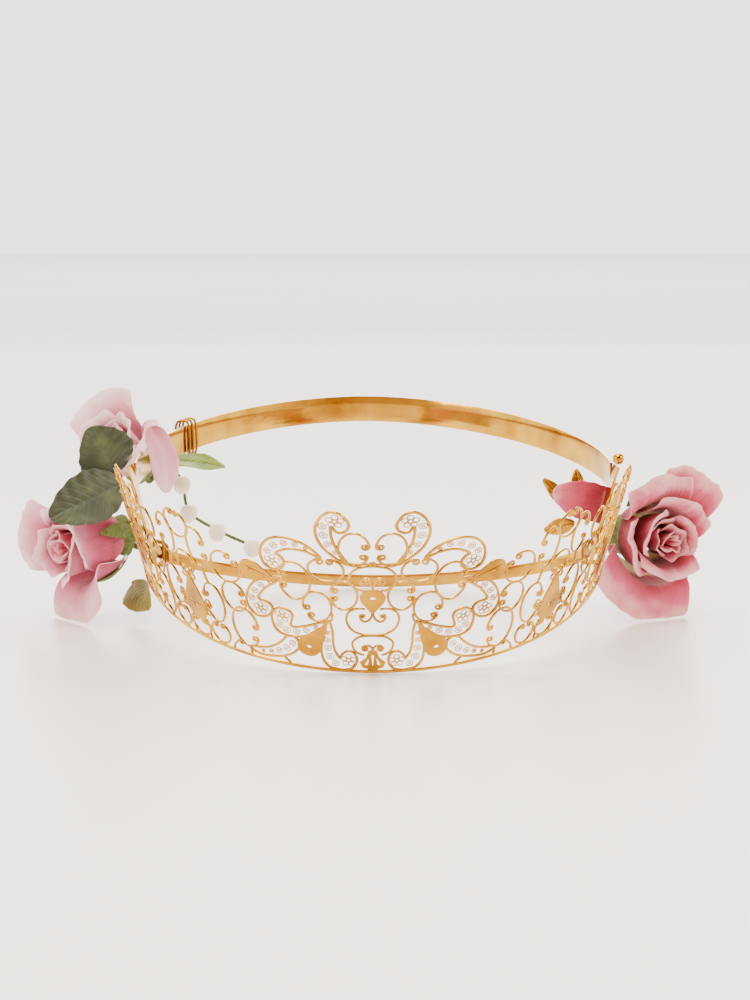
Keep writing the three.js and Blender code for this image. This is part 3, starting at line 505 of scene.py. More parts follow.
def rosette(middle, hand):
    flower = Pattern(middle, hand)
    flower.drop((0, 21.5), (0, 10.8), 4.2)
    for height in (14.6, 15.5, 16.4):
        flower.wire([(-1.1, height), (1.1, height)], share=0.4)
    flower.c_scroll(0, 24.8, 3.6, 3.5, 270, gap=60, curl=0.7)
    flower.c_scroll(0, 37, 4.5, 4.2, 90, gap=40)
    flower.c_scroll(0, 4.1, 3.9, 2.9, 90, gap=60, curl=0.8)
    for side in (1, -1):
        outer_way = 0 if side == 1 else 180
        flower.c_scroll(side * 8.4, 14.5, 3.6, 6.2, 180 - outer_way)
        flower.c_scroll(side * 6.4, 31.6, 3.4, 6.2, outer_way)
        flower.c_scroll(side * 8.3, 4.7, 3.4, 3.3, 90, gap=60, curl=0.8)
        for u, v, radius in ROSETTE_GRANULES:
            flower.ring(side * u, v, radius, share=0.8)
        flower.scroll([(side * 7.8, 20.6), (side * 7.2, 23), (side * 6.6, 25.6)])
        flower.scroll([(side * 3.4, 1.1), (side * 3.6, 2.3)])
    return flower


CENTRE_HALF_WIDTH = 40.4
ROSETTE_HALF_WIDTH = 12.2
LINK_WIDTH = 8.4
inner_middle = CENTRE_HALF_WIDTH + ROSETTE_HALF_WIDTH
link_middle = inner_middle + ROSETTE_HALF_WIDTH + LINK_WIDTH / 2
outer_middle = link_middle + LINK_WIDTH / 2 + ROSETTE_HALF_WIDTH
end_middle = (outer_middle + ROSETTE_HALF_WIDTH + SIDE_SPAN) / 2
for side, hand in (("left", -1), ("right", 1)):
    for place_name, middle in (("inner", inner_middle), ("outer", outer_middle)):
        bent_piece(f"{side}_{place_name}_rosette_scrollwork", rosette(middle, hand), filigree_gold,
                   "gold_filigree", f"{side}_{place_name}_rosette")
    link = Pattern(link_middle, hand)
    link.c_scroll(0, 8.2, 3.6, 6.4, 0)
    link.c_scroll(0, 20.4, 3.4, 5.6, 180)
    link.c_scroll(0, 30.6, 3.2, 4.7, 270)
    link.scroll([(0, 1.1), (0, 1.9)])
    bent_piece(f"{side}_link_scrollwork", link, filigree_gold, "gold_filigree", f"{side}_link")
    end = Pattern(end_middle, hand)
    for column, top in ((-9.2, 28), (0.2, 26), (9, 20.5)):
        half_height = (top - 2) / 4
        end.c_scroll(column, 1.5 + half_height, 4.5, half_height, 90)
        end.c_scroll(column, top - half_height, 4.5, half_height, 270)
        end.ring(column, half_height + 1.5, 1.2)
    bent_piece(f"{side}_end_scrollwork", end, filigree_gold, "gold_filigree", f"{side}_end_filigree")


# ---- Front rail: a flat brass strip on edge, the base that every filigree piece is soldered to ----
# It is straight for a few millimetres at the front, where the tiara stands on the table.
RAIL_DEPTH = 1.3
RAIL_HEIGHT = 0.9
RAIL_REST = 3


def shaped_strip(name, across, along, place, thickness, material, bevel=0.0, edge_material=None, smooth=0):
    """A grid laid out in code by place(a, b), a across and b along from 0 to 1, made a closed sheet."""
    bpy.ops.object.select_all(action="DESELECT")
    bpy.ops.mesh.primitive_grid_add(x_subdivisions=across, y_subdivisions=along, size=2)
    piece = bpy.context.object
    piece.name = name
    for vertex in piece.data.vertices:
        vertex.co = place((vertex.co.x + 1) / 2, (vertex.co.y + 1) / 2)
    piece.data.materials.append(material)
    if edge_material:
        piece.data.materials.append(edge_material)
    solidify = piece.modifiers.new("thickness", "SOLIDIFY")
    solidify.thickness = thickness * MM
    solidify.offset = 0
    solidify.material_offset_rim = 1 if edge_material else 0
    if bevel:
        rounding = piece.modifiers.new("rounded_edges", "BEVEL")
        rounding.width = bevel * MM
        rounding.segments = 2
        rounding.limit_method = "ANGLE"
    if smooth:
        finer = piece.modifiers.new("finer", "SUBSURF")
        finer.levels = finer.render_levels = smooth
    for modifier in list(piece.modifiers):
        bpy.ops.object.modifier_apply(modifier=modifier.name)
    bpy.ops.object.shade_smooth_by_angle(angle=math.radians(35))
    return piece


def level_rail_point(u, out, up):
    """A point of the rail, whose section stays level and upright in front."""
    tilted_out = out * math.cos(TILT) - up * math.sin(TILT)
    return ring_point(u, tilted_out, out * math.sin(TILT) + up * math.cos(TILT))


rail_drop = ring_point(RAIL_REST, 0, 0).z


def rail_place(a, b):
    u = SIDE_SPAN * (2 * b - 1)
    if abs(u) < RAIL_REST:
        ends = [level_rail_point(side * RAIL_REST, RAIL_DEPTH * a, RAIL_HEIGHT / 2) for side in (-1, 1)]
        point = ends[0].lerp(ends[1], (u / RAIL_REST + 1) / 2)
    else:
        point = level_rail_point(u, RAIL_DEPTH * a, RAIL_HEIGHT / 2)
    return point - Vector((0, 0, rail_drop))


rail = shaped_strip("front_rail_strip", 1, 169, rail_place, RAIL_HEIGHT, filigree_gold, bevel=0.2)
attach(rail, "root")
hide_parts("front_rail")


# ---- Headband: two flat strips of spring brass, the wide one high behind, the narrow one low ----
# They are rolled and polished before plating, so faint lines run along them. Both are soldered to
# an end plate at either temple, which is left as it comes from the shears.
BAND_THICKNESS = 0.8
BAND_ROUNDNESS = 1.8
CLEAR = 0.3
REAR_SEAT, REAR_WIDTH = 15, 8.8
LOWER_SEAT, LOWER_WIDTH = -5.5, 4.2
PLATE_START = SIDE_SPAN + CLEAR
PLATE_BACK = sheet_point(PLATE_START, LOWER_SEAT - 0.5, 0).y / MM + 4.5

band_gold = gold_plate("rolled_gold_band", "#dfb342", "#cf9b2a", "#a67414", 0.14)


def band_curve(seat, width, apex_x, apex_y, apex_z):
    """The lower edge of a band, in millimetres, for t from -1 at the left plate to 1 at the right."""
    end = sheet_point(PLATE_START, seat, SHEET_MIDDLE) / MM
    half = (sheet_point(PLATE_START, seat + width / 2, SHEET_MIDDLE) / MM).x
    start = PLATE_BACK + CLEAR

    def curve(t):
        angle = t * math.pi / 2
        across = math.copysign(abs(math.sin(angle)) ** (2 / BAND_ROUNDNESS), t)
        rise = max(math.cos(angle), 0) ** (2 / BAND_ROUNDNESS)
        return Vector((
            half * across + apex_x * rise,
            start + (apex_y - start) * rise,
            end.z + (apex_z - end.z) * rise,
        ))

    return curve


rear_curve = band_curve(REAR_SEAT, REAR_WIDTH, -3, 178, 50.5)
lower_curve = band_curve(LOWER_SEAT, LOWER_WIDTH, 1.5, 145, 0)


def band_strip(name, curve, width, node):
    def place(a, b):
        t = math.sin((2 * b - 1) * math.pi / 2)
        return (curve(t) + Vector((0, 0, width * (0.03 + 0.94 * a)))) * MM

    band = shaped_strip(name, 3, 150, place, BAND_THICKNESS, band_gold, bevel=0.25)
    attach(band, "root")
    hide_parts(node)


band_strip("rear_band_strip", rear_curve, REAR_WIDTH, "rear_band")
band_strip("lower_band_strip", lower_curve, LOWER_WIDTH, "lower_band")

# A turned bead is soldered on top of the right-hand plate.
bead_low, bead_high = (Vector(corner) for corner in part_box("right_end_bead"))
bpy.ops.mesh.primitive_uv_sphere_add(segments=40, ring_count=28, radius=(bead_high.x - bead_low.x) / 2)
bead = bpy.context.object
bead.name = "right_end_bead_turned"
for vertex in bead.data.vertices:
    vertex.co += (bead_low + bead_high) / 2
bead.data.materials.append(band_gold)
bpy.ops.object.shade_smooth()
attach(bead, "root")
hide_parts("right_end_bead")

wire_brass = gold_plate("drawn_brass_wire", "#cc9834", "#a8761e", "#70480c", 0.28)
for side in ("left", "right"):
    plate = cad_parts[f"{side}_end_plate"]
    plate.data.materials.clear()
    plate.data.materials.append(band_gold)


# ---- Roses: petals cut from dyed, stiffened cloth, pressed over a ball and glued cup over cup ----
# The colour is deepest low in the petal, painted shade inside the cup, and pales to the cut edge, partly
# paler cloth and partly a painted highlight; the press leaves crinkles 1 to
# 3 mm apart that run from the seat to the rim. A green calyx holds the petals on a taped wire.
PETAL_STEP = 1.15
PETAL_GAP = 0.6
PETAL_SEAT = math.radians(35)
CALYX_SPREAD = math.radians(24)
CALYX_TAIL = 4
STEM_RADIUS = 0.9
CUP_START = 0.45
TABLE_CLEAR = 0.35


def petal_cloth(name, seat, low, body, rim, edge):
    """Stiffened cloth for one rose: painted shade low in the cup, and the paler raw edge of its petals,
    partly the cloth's own and partly painted highlight.
    """
    material, tree, shader = new_material(name, Roughness=0.82)
    shader.inputs["Sheen Weight"].default_value = 0.25
    shader.inputs["Sheen Roughness"].default_value = 0.5
    shader.inputs["Subsurface Weight"].default_value = 0.12
    shader.inputs["Subsurface Scale"].default_value = 0.002
    place = add_node(tree, "ShaderNodeTexCoord")
    petal = add_node(tree, "ShaderNodeSeparateXYZ", links={"Vector": place.outputs["UV"]})
    shift = add_node(
        tree, "ShaderNodeMapRange", values={"To Min": -0.16, "To Max": 0.16},
        links={"Value": speckle(tree, place.outputs["Object"], 160, 3)})
    height = add_node(
        tree, "ShaderNodeMath", settings={"operation": "ADD"},
        links={0: petal.outputs["Y"], 1: shift.outputs["Result"]})
    # From the seat up to the rim: the dark stops low in the petal are painted shade inside the cup; the pale
    # rim and edge stops are partly paler cloth and partly a painted highlight.
    stops = [(0.0, seat), (0.1, seat), (0.26, low), (0.6, body), (0.86, rim), (0.99, edge)]
    tree.links.new(colour_ramp(tree, height.outputs["Value"], stops), shader.inputs["Base Color"])
    stretched = add_node(
        tree, "ShaderNodeMapping", values={"Scale": (26, 3.2, 1)}, links={"Vector": place.outputs["UV"]})
    crinkle = add_node(
        tree, "ShaderNodeTexNoise", values={"Scale": 1, "Detail": 5, "Roughness": 0.62},
        links={"Vector": stretched.outputs["Vector"]})
    folds = relief(tree, crinkle.outputs["Fac"], 0.55, 0.0007)
    weave = relief(tree, speckle(tree, place.outputs["Object"], 2600, 1), 0.3, 0.0002, under=folds)
    tree.links.new(weave, shader.inputs["Normal"])
    return material


def cut_edge(name, colour):
    """Plain matt cloth or paper of two near shades: raw edges, green tape and the buds' cloth."""
    material, tree, shader = new_material(name, Roughness=0.9)
    place = add_node(tree, "ShaderNodeTexCoord").outputs["Object"]
    tone = colour_ramp(tree, speckle(tree, place, 900, 3), [(0.3, colour[0]), (0.7, colour[1])])
    tree.links.new(tone, shader.inputs["Base Color"])
    return material


class Rose:
    """One rose: where its middle is, which way it faces, and its petals from the heart outwards."""

    def __init__(self, name, facing, heart_radius, depth, heart_length, petals):
        self.name = name
        self.facing = Vector(facing).normalized()
        self.across = Vector((0, 0, 1)).cross(self.facing).normalized()
        self.up = self.facing.cross(self.across)
        self.heart_radius = heart_radius
        self.depth = depth
        self.heart_length = heart_length
        self.petals = petals
        self.middle = Vector((0, 0, 0))
        self.middle = self.middle_from_heart()

    def point(self, turn, radius, height):
        """A point of the rose in millimetres."""
        return (self.middle + self.across * radius * math.cos(turn)
                + self.up * radius * math.sin(turn) + self.facing * height)

    def middle_from_heart(self):
        """The heart is an eight-sided bud in the frame; its box says where the rose's middle is."""
        radius, depth, length = self.heart_radius, self.depth, self.heart_length
        rings = [(radius * 0.35, -depth * 0.8), (radius * 0.8, -depth * 0.45), (radius, length * 0.1),
                 (radius * 0.9, length * 0.7), (radius * 0.45, length)]
        corners = [self.point(0, 0, -depth), self.point(0, 0, length)]
        corners += [self.point(math.radians(45 * k), *ring) for ring in rings for k in range(8)]
        low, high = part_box(f"{self.name}_heart")
        return Vector([
            (low[i] + high[i]) / 2 / MM - (min(c[i] for c in corners) + max(c[i] for c in corners)) / 2
            for i in range(3)
        ])

    def gap(self, layer):
        """How far a petal's cup stands outside the heart."""
        return PETAL_GAP + layer * PETAL_STEP

    def calyx_end(self):
        """The height on the rose's axis where the calyx ends and the stem starts."""
        return -(self.depth + self.gap(len(self.petals))) * math.cos(CALYX_SPREAD) - CALYX_TAIL

    def petal_place(self, gap, turn, spread, length, flare, roll, seed):
        """The surface of a petal: a cup whose rim leans out, rolls back and is a little ruffled."""
        chance = random.Random(seed)
        phases = [chance.uniform(0, 6.28) for _ in range(5)]
        lean = chance.uniform(-0.12, 0.12)
        radius, depth = self.heart_radius + gap, self.depth + gap
        turn, spread = math.radians(turn), math.radians(spread)

        def place(a, b):
            side = a * 2 - 1
            width = spread * (0.5 + 0.5 * math.sin(0.35 + b * 2.3)) * (1 - 0.1 * b ** 6)
            angle = turn + side * width / 2
            crumple = (0.75 * noise.noise(Vector((side * 1.7, b * 2.6, seed * 3.1)))
                       + 0.5 * noise.noise(Vector((side * 4.5, b * 3.4, seed * 5.7))))
            torn = (0.05 * noise.noise(Vector((side * 7, seed * 2.3, 0)))
                    + 0.03 * math.sin(side * 21 + phases[4]))
            ruffle = 0.3 * b * b * math.sin(side * 6 + phases[0]) + crumple * min(1, b * 1.5)
            dent = -0.45 * b * math.exp(-((side - lean * 3) / 0.22) ** 2)
            if b < CUP_START:
                swing = PETAL_SEAT + (math.pi / 2 - PETAL_SEAT) * b / CUP_START
                reach = radius * math.sin(swing) + ruffle + dent * 0.5
                point = self.point(angle, reach, -depth * math.cos(swing))
            else:
                rise = (b - CUP_START) / (1 - CUP_START)
                rim = (1 - 0.2 * side * side + 0.05 * math.exp(-(side / 0.25) ** 2)
                       + 0.05 * math.sin(side * 5 + phases[2]) + torn)
                lip = max(0.0, (rise - 0.62) / 0.38) ** 2 * roll
                corner = 0.5 * roll * rise * rise * side ** 4
                reach = radius + flare * rise * rise * rim + lip + corner + ruffle + dent
                point = self.point(angle, reach, length * rise * rim - lip * 0.55 + lean * side * 2 * rise)
            point.z = max(point.z, TABLE_CLEAR)
            return point * MM

        return place

    def petal(self, layer, material, edge):
        """The cloth of one petal, and the name of the CAD node that it stands for."""
        turn, spread, length, flare, roll = self.petals[layer]
        seed = len(self.petals) * 10 + layer
        place = self.petal_place(self.gap(layer), turn, spread, length, flare, roll, seed)
        node = f"{self.name}_petal_{layer + 1}"
        cloth = shaped_strip(node + "_cloth", 18, 22, place, 0.5, material, edge_material=edge, smooth=1)
        return cloth, node

    def heart(self, material, edge):
        """Seven small petals rolled round each other, joined as the rose's heart."""
        parts = []
        for k in range(7):
            gap = -self.heart_radius * (0.86 - 0.125 * k)
            length = self.heart_length * (1.0 - 0.035 * k)
            place = self.petal_place(gap, 137 * k, 215 - 12 * k, length, 0.4 + 0.2 * k, 0.5, 50 + k)
            roll = shaped_strip(
                self.name + "_roll", 14, 14, place, 0.4, material, edge_material=edge, smooth=1)
            parts.append(roll)
        return joined(parts, f"{self.name}_heart_cloth")

    def calyx(self, material):
        """The green seat, turned about the rose's own axis, with five pointed sepals."""
        share = math.tan(CALYX_SPREAD)
        front, back = 2.0, self.gap(len(self.petals))
        outline = [
            ((self.heart_radius + front) * share, -(self.depth + front) * math.cos(CALYX_SPREAD)),
            ((self.heart_radius + back) * share, -(self.depth + back) * math.cos(CALYX_SPREAD)),
            ((self.heart_radius + back) * share * 0.8, -(self.depth + back) * math.cos(CALYX_SPREAD) - 1.2),
            (STEM_RADIUS * 1.9, self.calyx_end() + 1.2),
            (STEM_RADIUS * 1.25, self.calyx_end() - 0.2),
        ]
        line = smooth_line(outline, steps=5)

        def seat_place(a, b):
            radius, height = line[round(b * (len(line) - 1))]
            ridge = 1 + 0.05 * math.cos(a * 2 * math.pi * 5)
            return self.point(a * 2 * math.pi, radius * ridge, height) * MM

        parts = [shaped_strip(f"{self.name}_seat", 30, len(line) - 1, seat_place, 0.35, material)]
        bpy.ops.object.mode_set(mode="EDIT")
        bpy.ops.mesh.select_all(action="SELECT")
        bpy.ops.mesh.remove_doubles(threshold=0.00002)
        bpy.ops.object.mode_set(mode="OBJECT")
        for k in range(5):
            place = self.petal_place(back - 0.3, 72 * k + 20, 44, 0.5, 1, 0.3, 80 + k)

            def sepal_place(a, b, place=place):
                taper = 1 - 0.93 * min(1, b / CUP_START) ** 1.3
                return place(0.5 + (a - 0.5) * taper, b)

            parts.append(shaped_strip(f"{self.name}_sepal", 6, 12, sepal_place, 0.3, material, smooth=1))
        return joined(parts, f"{self.name}_calyx_cloth")


def keep(piece, slot, *nodes):
    """The piece moves with the tiara and stands for its CAD nodes; slot is not used."""
    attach(piece, "root")
    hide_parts(*nodes)


deep_pink = petal_cloth("deep_rose_cloth", "#f0dcb0", "#8c102c", "#bf2f5a", "#dc6389", "#f2b4bd")
mid_pink = petal_cloth("rose_cloth", "#b4465a", "#a3204a", "#cc5881", "#e196b2", "#f3cbd7")
pale_pink = petal_cloth("pale_rose_cloth", "#cb7690", "#d983a0", "#e4a0b7", "#eebfce", "#f6dde3")
deep_edge = cut_edge("cut_edge_of_deep_petals", ("#e59aa6", "#f3c2c6"))
pale_edge = cut_edge("cut_edge_of_pale_petals", ("#edc2cc", "#f7dfe3"))
sepal_green = cut_edge("calyx_tape", ("#4c5c2c", "#76864a"))

# Petals from the heart outwards: turn about the rose's axis, spread, length, flare, rolled lip.
right_rose = Rose("right_rose", (0.35, -0.93, 0.05), 5.6, 10, 12, [
    (20, 150, 13, 0.5, 1.2),
    (150, 150, 13, 1, 1.4),
    (265, 150, 13, 1.5, 1.6),
    (60, 130, 13, 1.7, 1.8),
    (190, 105, 12, 1.8, 2),
    (100, 100, 12, 6, 2.2),
    (60, 85, 10, 8, 1.6),
    (245, 125, 8, 9.5, 2.2),
])
lower_rose = Rose("left_lower_rose", (-0.75, -0.6, -0.1), 6.2, 9, 9, [
    (200, 150, 11, 1, 1.2),
    (330, 150, 11, 2, 1.5),
    (80, 150, 10.5, 2.2, 1.6),
    (170, 110, 10, 7.5, 2),
    (20, 110, 9.5, 1.8, 1.3),
    (285, 110, 8, 9.5, 2.2),
])
upper_rose = Rose("left_upper_rose", (-0.35, -0.6, 0.5), 5.2, 8, 8, [
    (40, 150, 9, 1, 1.2),
    (170, 150, 9, 2, 1.5),
    (285, 150, 9, 3, 1.8),
    (350, 110, 8, 5, 2),
    (130, 110, 7, 7, 2.2),
])
# The left roses' hearts take the next deeper cloth than their petals: painted shade in the closed middle of
# each rose.
rose_cloths = [
    (right_rose, deep_pink, deep_edge, deep_pink, "deep_rose_cloth", "deep_rose_cloth"),
    (lower_rose, mid_pink, pale_edge, deep_pink, "rose_cloth", "deep_rose_cloth"),
    (upper_rose, pale_pink, pale_edge, mid_pink, "pale_rose_cloth", "rose_cloth"),
]
for rose, cloth, edge, heart_cloth, slot, heart_slot in rose_cloths:
    for layer in range(len(rose.petals)):
        piece, node = rose.petal(layer, cloth, edge)
        keep(piece, slot, node)
    keep(rose.heart(heart_cloth, edge), heart_slot, f"{rose.name}_heart")
    keep(rose.calyx(sepal_green), "dark_leaf_cloth", f"{rose.name}_calyx")


# ---- Leaves: dyed satin, die-cut and pressed so that a midrib and side veins stand up ----
# Satin shines along its threads, so the leaves have a soft broad highlight. The two dark ones
# are crimped where they meet; the rest are single.
def leaf_satin(name, dark, mid, light):
    material, tree, shader = new_material(name, Roughness=0.5)
    shader.inputs["Sheen Weight"].default_value = 0.3
    place = add_node(tree, "ShaderNodeTexCoord")
    blade = add_node(tree, "ShaderNodeSeparateXYZ", links={"Vector": place.outputs["UV"]})
    off_middle = add_node(tree, "ShaderNodeMath", settings={"operation": "SUBTRACT"}, values={1: 0.5},
                          links={0: blade.outputs["X"]})
    outwards = add_node(tree, "ShaderNodeMath", settings={"operation": "ABSOLUTE"},
                        links={0: off_middle.outputs["Value"]})
    slant = add_node(tree, "ShaderNodeMath", settings={"operation": "MULTIPLY_ADD"}, values={1: -0.55},
                     links={0: outwards.outputs["Value"], 2: blade.outputs["Y"]})
    veins = add_node(tree, "ShaderNodeMath", settings={"operation": "PINGPONG"}, values={1: 0.055},
                     links={0: slant.outputs["Value"]})
    groove = add_node(tree, "ShaderNodeMapRange", values={"From Max": 0.03},
                      links={"Value": veins.outputs["Value"]})
    mottle = speckle(tree, place.outputs["Object"], 120, 3)
    tone = colour_ramp(tree, mottle, [(0.3, dark), (0.52, mid), (0.75, light)])
    tree.links.new(tone, shader.inputs["Base Color"])
    vein_relief = relief(tree, groove.outputs["Result"], 0.35, 0.0004)
    threads = relief(tree, speckle(tree, place.outputs["Object"], 700, 3), 0.25, 0.0002, under=vein_relief)
    tree.links.new(threads, shader.inputs["Normal"])
    return material


def leaf_blade(name, stalk, tip, normal, width, bow, material, thickness=0.35, crimp=0.0, veined=1.0):
    """A pointed leaf from stalk to tip, in millimetres, folded a little along its midrib."""
    stalk, tip, normal = Vector(stalk), Vector(tip), Vector(normal)
    along = tip - stalk
    side = normal.cross(along).normalized()
    lift = side.cross(along).normalized() * math.copysign(1, side.cross(along).dot(normal))
    fullness = 0.75 if veined == 1 else 0.55

    def place(a, b):
        across = a * 2 - 1
        ragged = 0.14 * noise.noise(Vector((b * 6, across, width)))
        edge = 1 + 0.03 * math.sin(b * 34) + (1 - veined) * ragged
        half = width / 2 * (0.12 + 0.88 * math.sin(math.pi * b ** 0.85) ** fullness) * edge
        rib = -0.45 * math.exp(-(across / 0.09) ** 2)
        vein = 0.16 * math.sin((b * 9 - abs(across) * 2.2) * 2 * math.pi) * math.sin(math.pi * b)
        wave = 0.5 * math.sin(b * 9 + across * 2) * across * across
        pleat = crimp * math.sin(b * 40) * max(0.0, -across) ** 2
        pleat += (1 - veined) * 1.1 * noise.noise(Vector((across * 1.8, b * 3.5, width)))
        height = bow * (math.sin(math.pi * b) + 0.5 * across * across) + veined * (rib + vein) + wave + pleat
        point = stalk + along * b + side * across * half + lift * height
        point.z = max(point.z, TABLE_CLEAR)
        return point * MM

    return shaped_strip(name, 18, 30, place, thickness, material, smooth=1)


def from_end(side, out, back, up):
    """A place given out, back and up from the foot of an end plate, in millimetres."""
    return sheet_point(side * PLATE_START, 0, 0) / MM + Vector((side * out, back, up))


def at_height(point, z):
    """The point put at a height above the table, in millimetres."""
    return Vector((point.x, point.y, z))


def over_lower_rose(out, back, up):
    """A place above and in front of the lower rose, clear of the sphere that its petals fill."""
    reach = lower_rose.heart_radius + lower_rose.gap(len(lower_rose.petals))
    return lower_rose.middle + Vector((-out, back - reach, up + reach))


dark_satin = leaf_satin("dark_green_satin", "#1b2611", "#2f3d1e", "#4d5d30")
light_satin = leaf_satin("light_green_satin", "#52701a", "#7d9a26", "#a9b848")
yellow_satin = leaf_satin("yellow_green_satin", "#6b6c10", "#96901a", "#bcae38")
upper_leaf = leaf_blade(
    "upper_dark_leaf_satin", from_end(-1, 9.5, -3.6, 20.5), from_end(-1, 17, -8, 34.5),
    (0.1, -1, 0.3), 17.5, 1.5, dark_satin, crimp=0.5)
keep(upper_leaf, "dark_leaf_cloth", "upper_dark_leaf")
lower_leaf = leaf_blade(
    "lower_dark_leaf_satin", over_lower_rose(-13.4, 11.1, 5), over_lower_rose(6.3, -4.7, -3.4),
    (0.1, -1, 0.2), 16, 1.3, dark_satin, crimp=-0.5)
keep(lower_leaf, "dark_leaf_cloth", "lower_dark_leaf")
low_leaf = leaf_blade(
    "low_green_leaf_satin", at_height(from_end(-1, 6.2, 2.9, 0), 9),
    at_height(from_end(-1, -0.3, -11.1, 0), 3.7), (-0.6, -0.4, 0.6), 10, 0.9, yellow_satin)
keep(low_leaf, "light_leaf_cloth", "low_green_leaf")

# Three leaves of thin gilt brass, from stalk to tip, below the right rose.
gold_leaf_ends = [
    ((-2.9, 15.4, 7), (-4.3, 20.9, 19)),
    ((-4.3, 16.4, 6), (-14.3, 20.9, 16)),
    ((-4.8, 16.9, 3), (-13.8, 20.9, 0)),
]
for i, (stalk, tip) in enumerate(gold_leaf_ends):
    blade = leaf_blade(
        f"gold_leaf_{i + 1}_foil", from_end(1, *stalk), from_end(1, *tip),
        (0, -1, 0.2), 5, 0.6, wire_brass, thickness=0.3)
    keep(blade, "binding_wire", f"gold_leaf_{i + 1}")

# One outer petal of the right rose has slipped through between the bands, behind the plate.
stray = leaf_blade(
    "right_rose_stray_petal_cloth", from_end(1, 7.4, 12.2, 8), from_end(1, -12, 10.9, 13),
    (0, -1, 0.1), 12, 1.2, deep_pink, thickness=0.5, veined=0.2)
keep(stray, "deep_rose_cloth", "right_rose_stray_petal")

# Another hangs from the rim of the upper rose, inside the rear band.
hanging = leaf_blade(
    "left_upper_rose_hanging_petal_cloth", from_end(-1, 1.2, 20.2, 32.3), from_end(-1, -3.2, 17.9, 12),
    (0.85, -0.5, 0.1), 14.5, 1.2, pale_pink, thickness=0.5, veined=0.2)
keep(hanging, "pale_rose_cloth", "left_upper_rose_hanging_petal")


# ---- Bud spray: padded cream buds on one fine stem, hung inside the rear band with a leaf ----
# Each bud is a ball of wadding under thin cloth, gathered into five soft folds at the tip.
def from_rear_band(x, y, z):
    """A place given in millimetres from a point of the rear band's lower edge, on the left."""
    return rear_curve(-0.72) + Vector((x, y, z))


bud_cloth = cut_edge("cream_bud_cloth", ("#f6ecd6", "#fffaf0"))
BUD_RADIUS = 2.7
BUD_PLACES = ((5, 2.7, -7.3), (7, 2.7, -16.3), (16, 2.7, -22.3), (27, 2.7, -27.3))
bud_middles = [from_rear_band(*place) for place in BUD_PLACES]
for i, middle in enumerate(bud_middles):
    bpy.ops.object.select_all(action="DESELECT")
    bpy.ops.mesh.primitive_uv_sphere_add(segments=30, ring_count=20, radius=BUD_RADIUS * MM)
    ball = bpy.context.object
    for vertex in ball.data.vertices:
        turn = math.atan2(vertex.co.y, vertex.co.x) + i
        share = vertex.co.z / (BUD_RADIUS * MM)
        fold = 1 + 0.1 * math.cos(5 * turn + 2 * share) * (0.3 + 0.7 * max(share, 0))
        vertex.co.x *= fold
        vertex.co.y *= fold
        vertex.co.z *= 1.15 - 0.25 * max(share, 0) ** 6
        vertex.co += middle * MM
    ball.name = f"cream_bud_{i + 1}_cloth"
    ball.data.materials.append(bud_cloth)
    bpy.ops.object.shade_smooth()
    keep(ball, "cream_bud", f"cream_bud_{i + 1}")

spray_leaf = leaf_blade(
    "light_leaf_satin", from_rear_band(1.1, -2.3, 0.7), from_rear_band(19, -3.3, -1.3),
    (0, -0.6, 0.8), 7, 1, light_satin)
keep(spray_leaf, "light_leaf_cloth", "light_leaf")


# ---- Stems: wire wrapped in green tape, each tied beside its band with turns of brass wire ----
# The tape is crepe paper, wound at a slant, so its edges show as fine ridges.
def tube(name, points, radius, material, sides=3):
    """A round rod along points given in millimetres."""
    curve = bpy.data.curves.new(name, "CURVE")
    curve.dimensions = "3D"
    curve.bevel_depth = radius * MM
    curve.bevel_resolution = sides
    curve.use_fill_caps = True
    spline = curve.splines.new("POLY")
    spline.points.add(len(points) - 1)
    for target, point in zip(spline.points, points):
        target.co = (point[0] * MM, point[1] * MM, point[2] * MM, 1)
    rod = bpy.data.objects.new(name, curve)
    bpy.context.scene.collection.objects.link(rod)
    only(rod)
    bpy.ops.object.convert(target="MESH")
    rod.data.materials.append(material)
    bpy.ops.object.shade_smooth_by_angle(angle=math.radians(50))
    return rod


BINDING_RADIUS = 0.4
SPRAY_STEM_RADIUS = 0.5
stem_tape = cut_edge("green_stem_tape", ("#3c4a22", "#5f7038"))
stem_offset = BAND_THICKNESS / 2 + CLEAR + STEM_RADIUS


def outward_at(curve, t):
    """The level direction square to a band, away from the head."""
    tangent = curve(min(t + 0.002, 1)) - curve(max(t - 0.002, -1))
    return Vector((-tangent.y, tangent.x, 0)).normalized()


def beside_band(curve, width, t):
    """Where a stem lies against the outside of a band, half way up it."""
    return curve(t) + Vector((0, 0, width / 2)) + outward_at(curve, t) * stem_offset


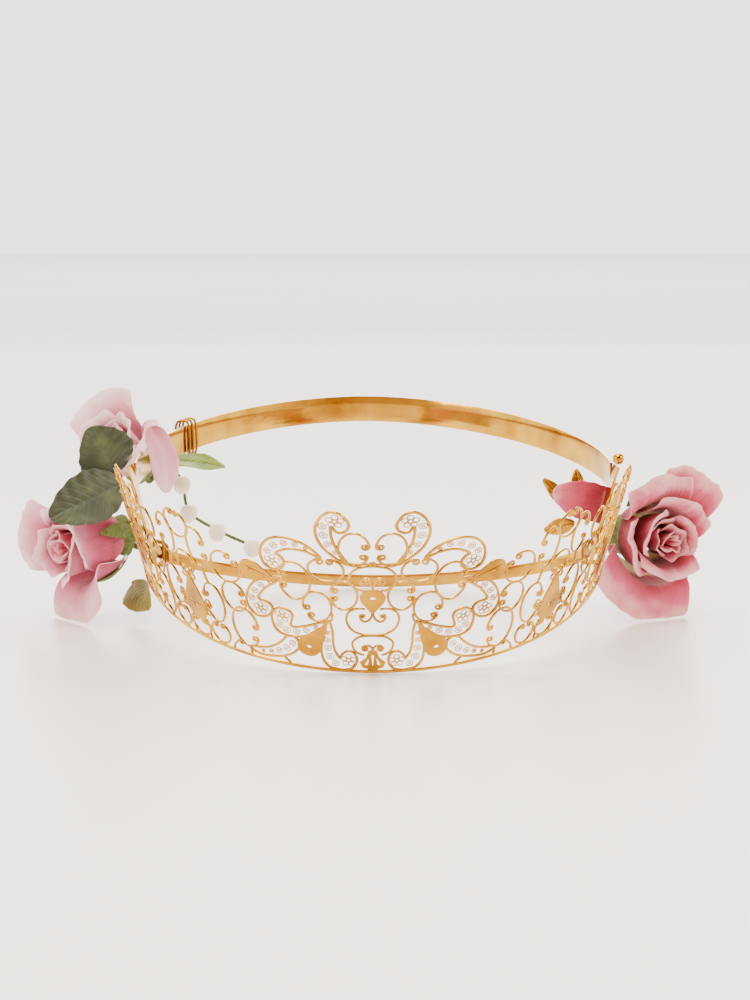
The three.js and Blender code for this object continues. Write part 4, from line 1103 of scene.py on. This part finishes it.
def binding_coil(curve, width, t, turns=3, pitch=1.9):
    """Points of a few turns of wire round a band and the stem beside it."""
    inner, outer = -BAND_THICKNESS / 2, stem_offset + STEM_RADIUS
    reach_out = (outer - inner) / 2 + CLEAR * 2 + BINDING_RADIUS
    reach_up = width / 2 + CLEAR * 3 + BINDING_RADIUS
    pace = (curve(t + 0.01) - curve(t)).length / 0.01
    points = []
    for i in range(turns * 28 + 1):
        here = t + pitch * i / 28 / pace
        angle = i / 28 * 2 * math.pi
        cosine, sine = math.cos(angle), math.sin(angle)
        size = (abs(cosine) ** 4 + abs(sine) ** 4) ** -0.25
        out = outward_at(curve, here) * ((inner + outer) / 2 + reach_out * size * cosine)
        points.append(curve(here) + Vector((0, 0, width / 2 + reach_up * size * sine)) + out)
    return points


ties = [
    ("right", right_rose, lower_curve, LOWER_WIDTH, 0.84, [from_end(1, 5.7, 24.9, -5)]),
    ("left_lower", lower_rose, lower_curve, LOWER_WIDTH, -0.95, [from_end(-1, 6.7, 12.9, -3)]),
    ("left_upper", upper_rose, rear_curve, REAR_WIDTH, -0.66, []),
]
for name, rose, curve, width, tied, bends in ties:
    start = rose.point(0, 0, rose.calyx_end() + 0.5)
    away = rose.point(0, 0, rose.calyx_end() - 3)
    run = [beside_band(curve, width, tied + step) for step in (0, 0.02, 0.05, 0.09)]
    route = smooth_line([tuple(p) for p in (start, away, *bends, *run)], steps=7)
    keep(tube(f"{name}_taped_stem", route, STEM_RADIUS, stem_tape), "dark_leaf_cloth", f"{name}_stem")
    turns = binding_coil(curve, width, tied + 0.035)
    coil = tube(f"{name}_brass_binding", turns, BINDING_RADIUS, wire_brass, sides=2)
    keep(coil, "binding_wire", f"{name}_binding_wire")

behind = Vector((0, BUD_RADIUS + SPRAY_STEM_RADIUS + CLEAR, 0))
behind_buds = [tuple(middle + behind) for middle in bud_middles]
spray_route = smooth_line([tuple(from_rear_band(2.1, 5.5, -2.3)), *behind_buds], steps=8)
spray_stem = tube("bud_spray_taped_stem", spray_route, SPRAY_STEM_RADIUS, stem_tape)
keep(spray_stem, "light_leaf_cloth", "bud_spray_stem")
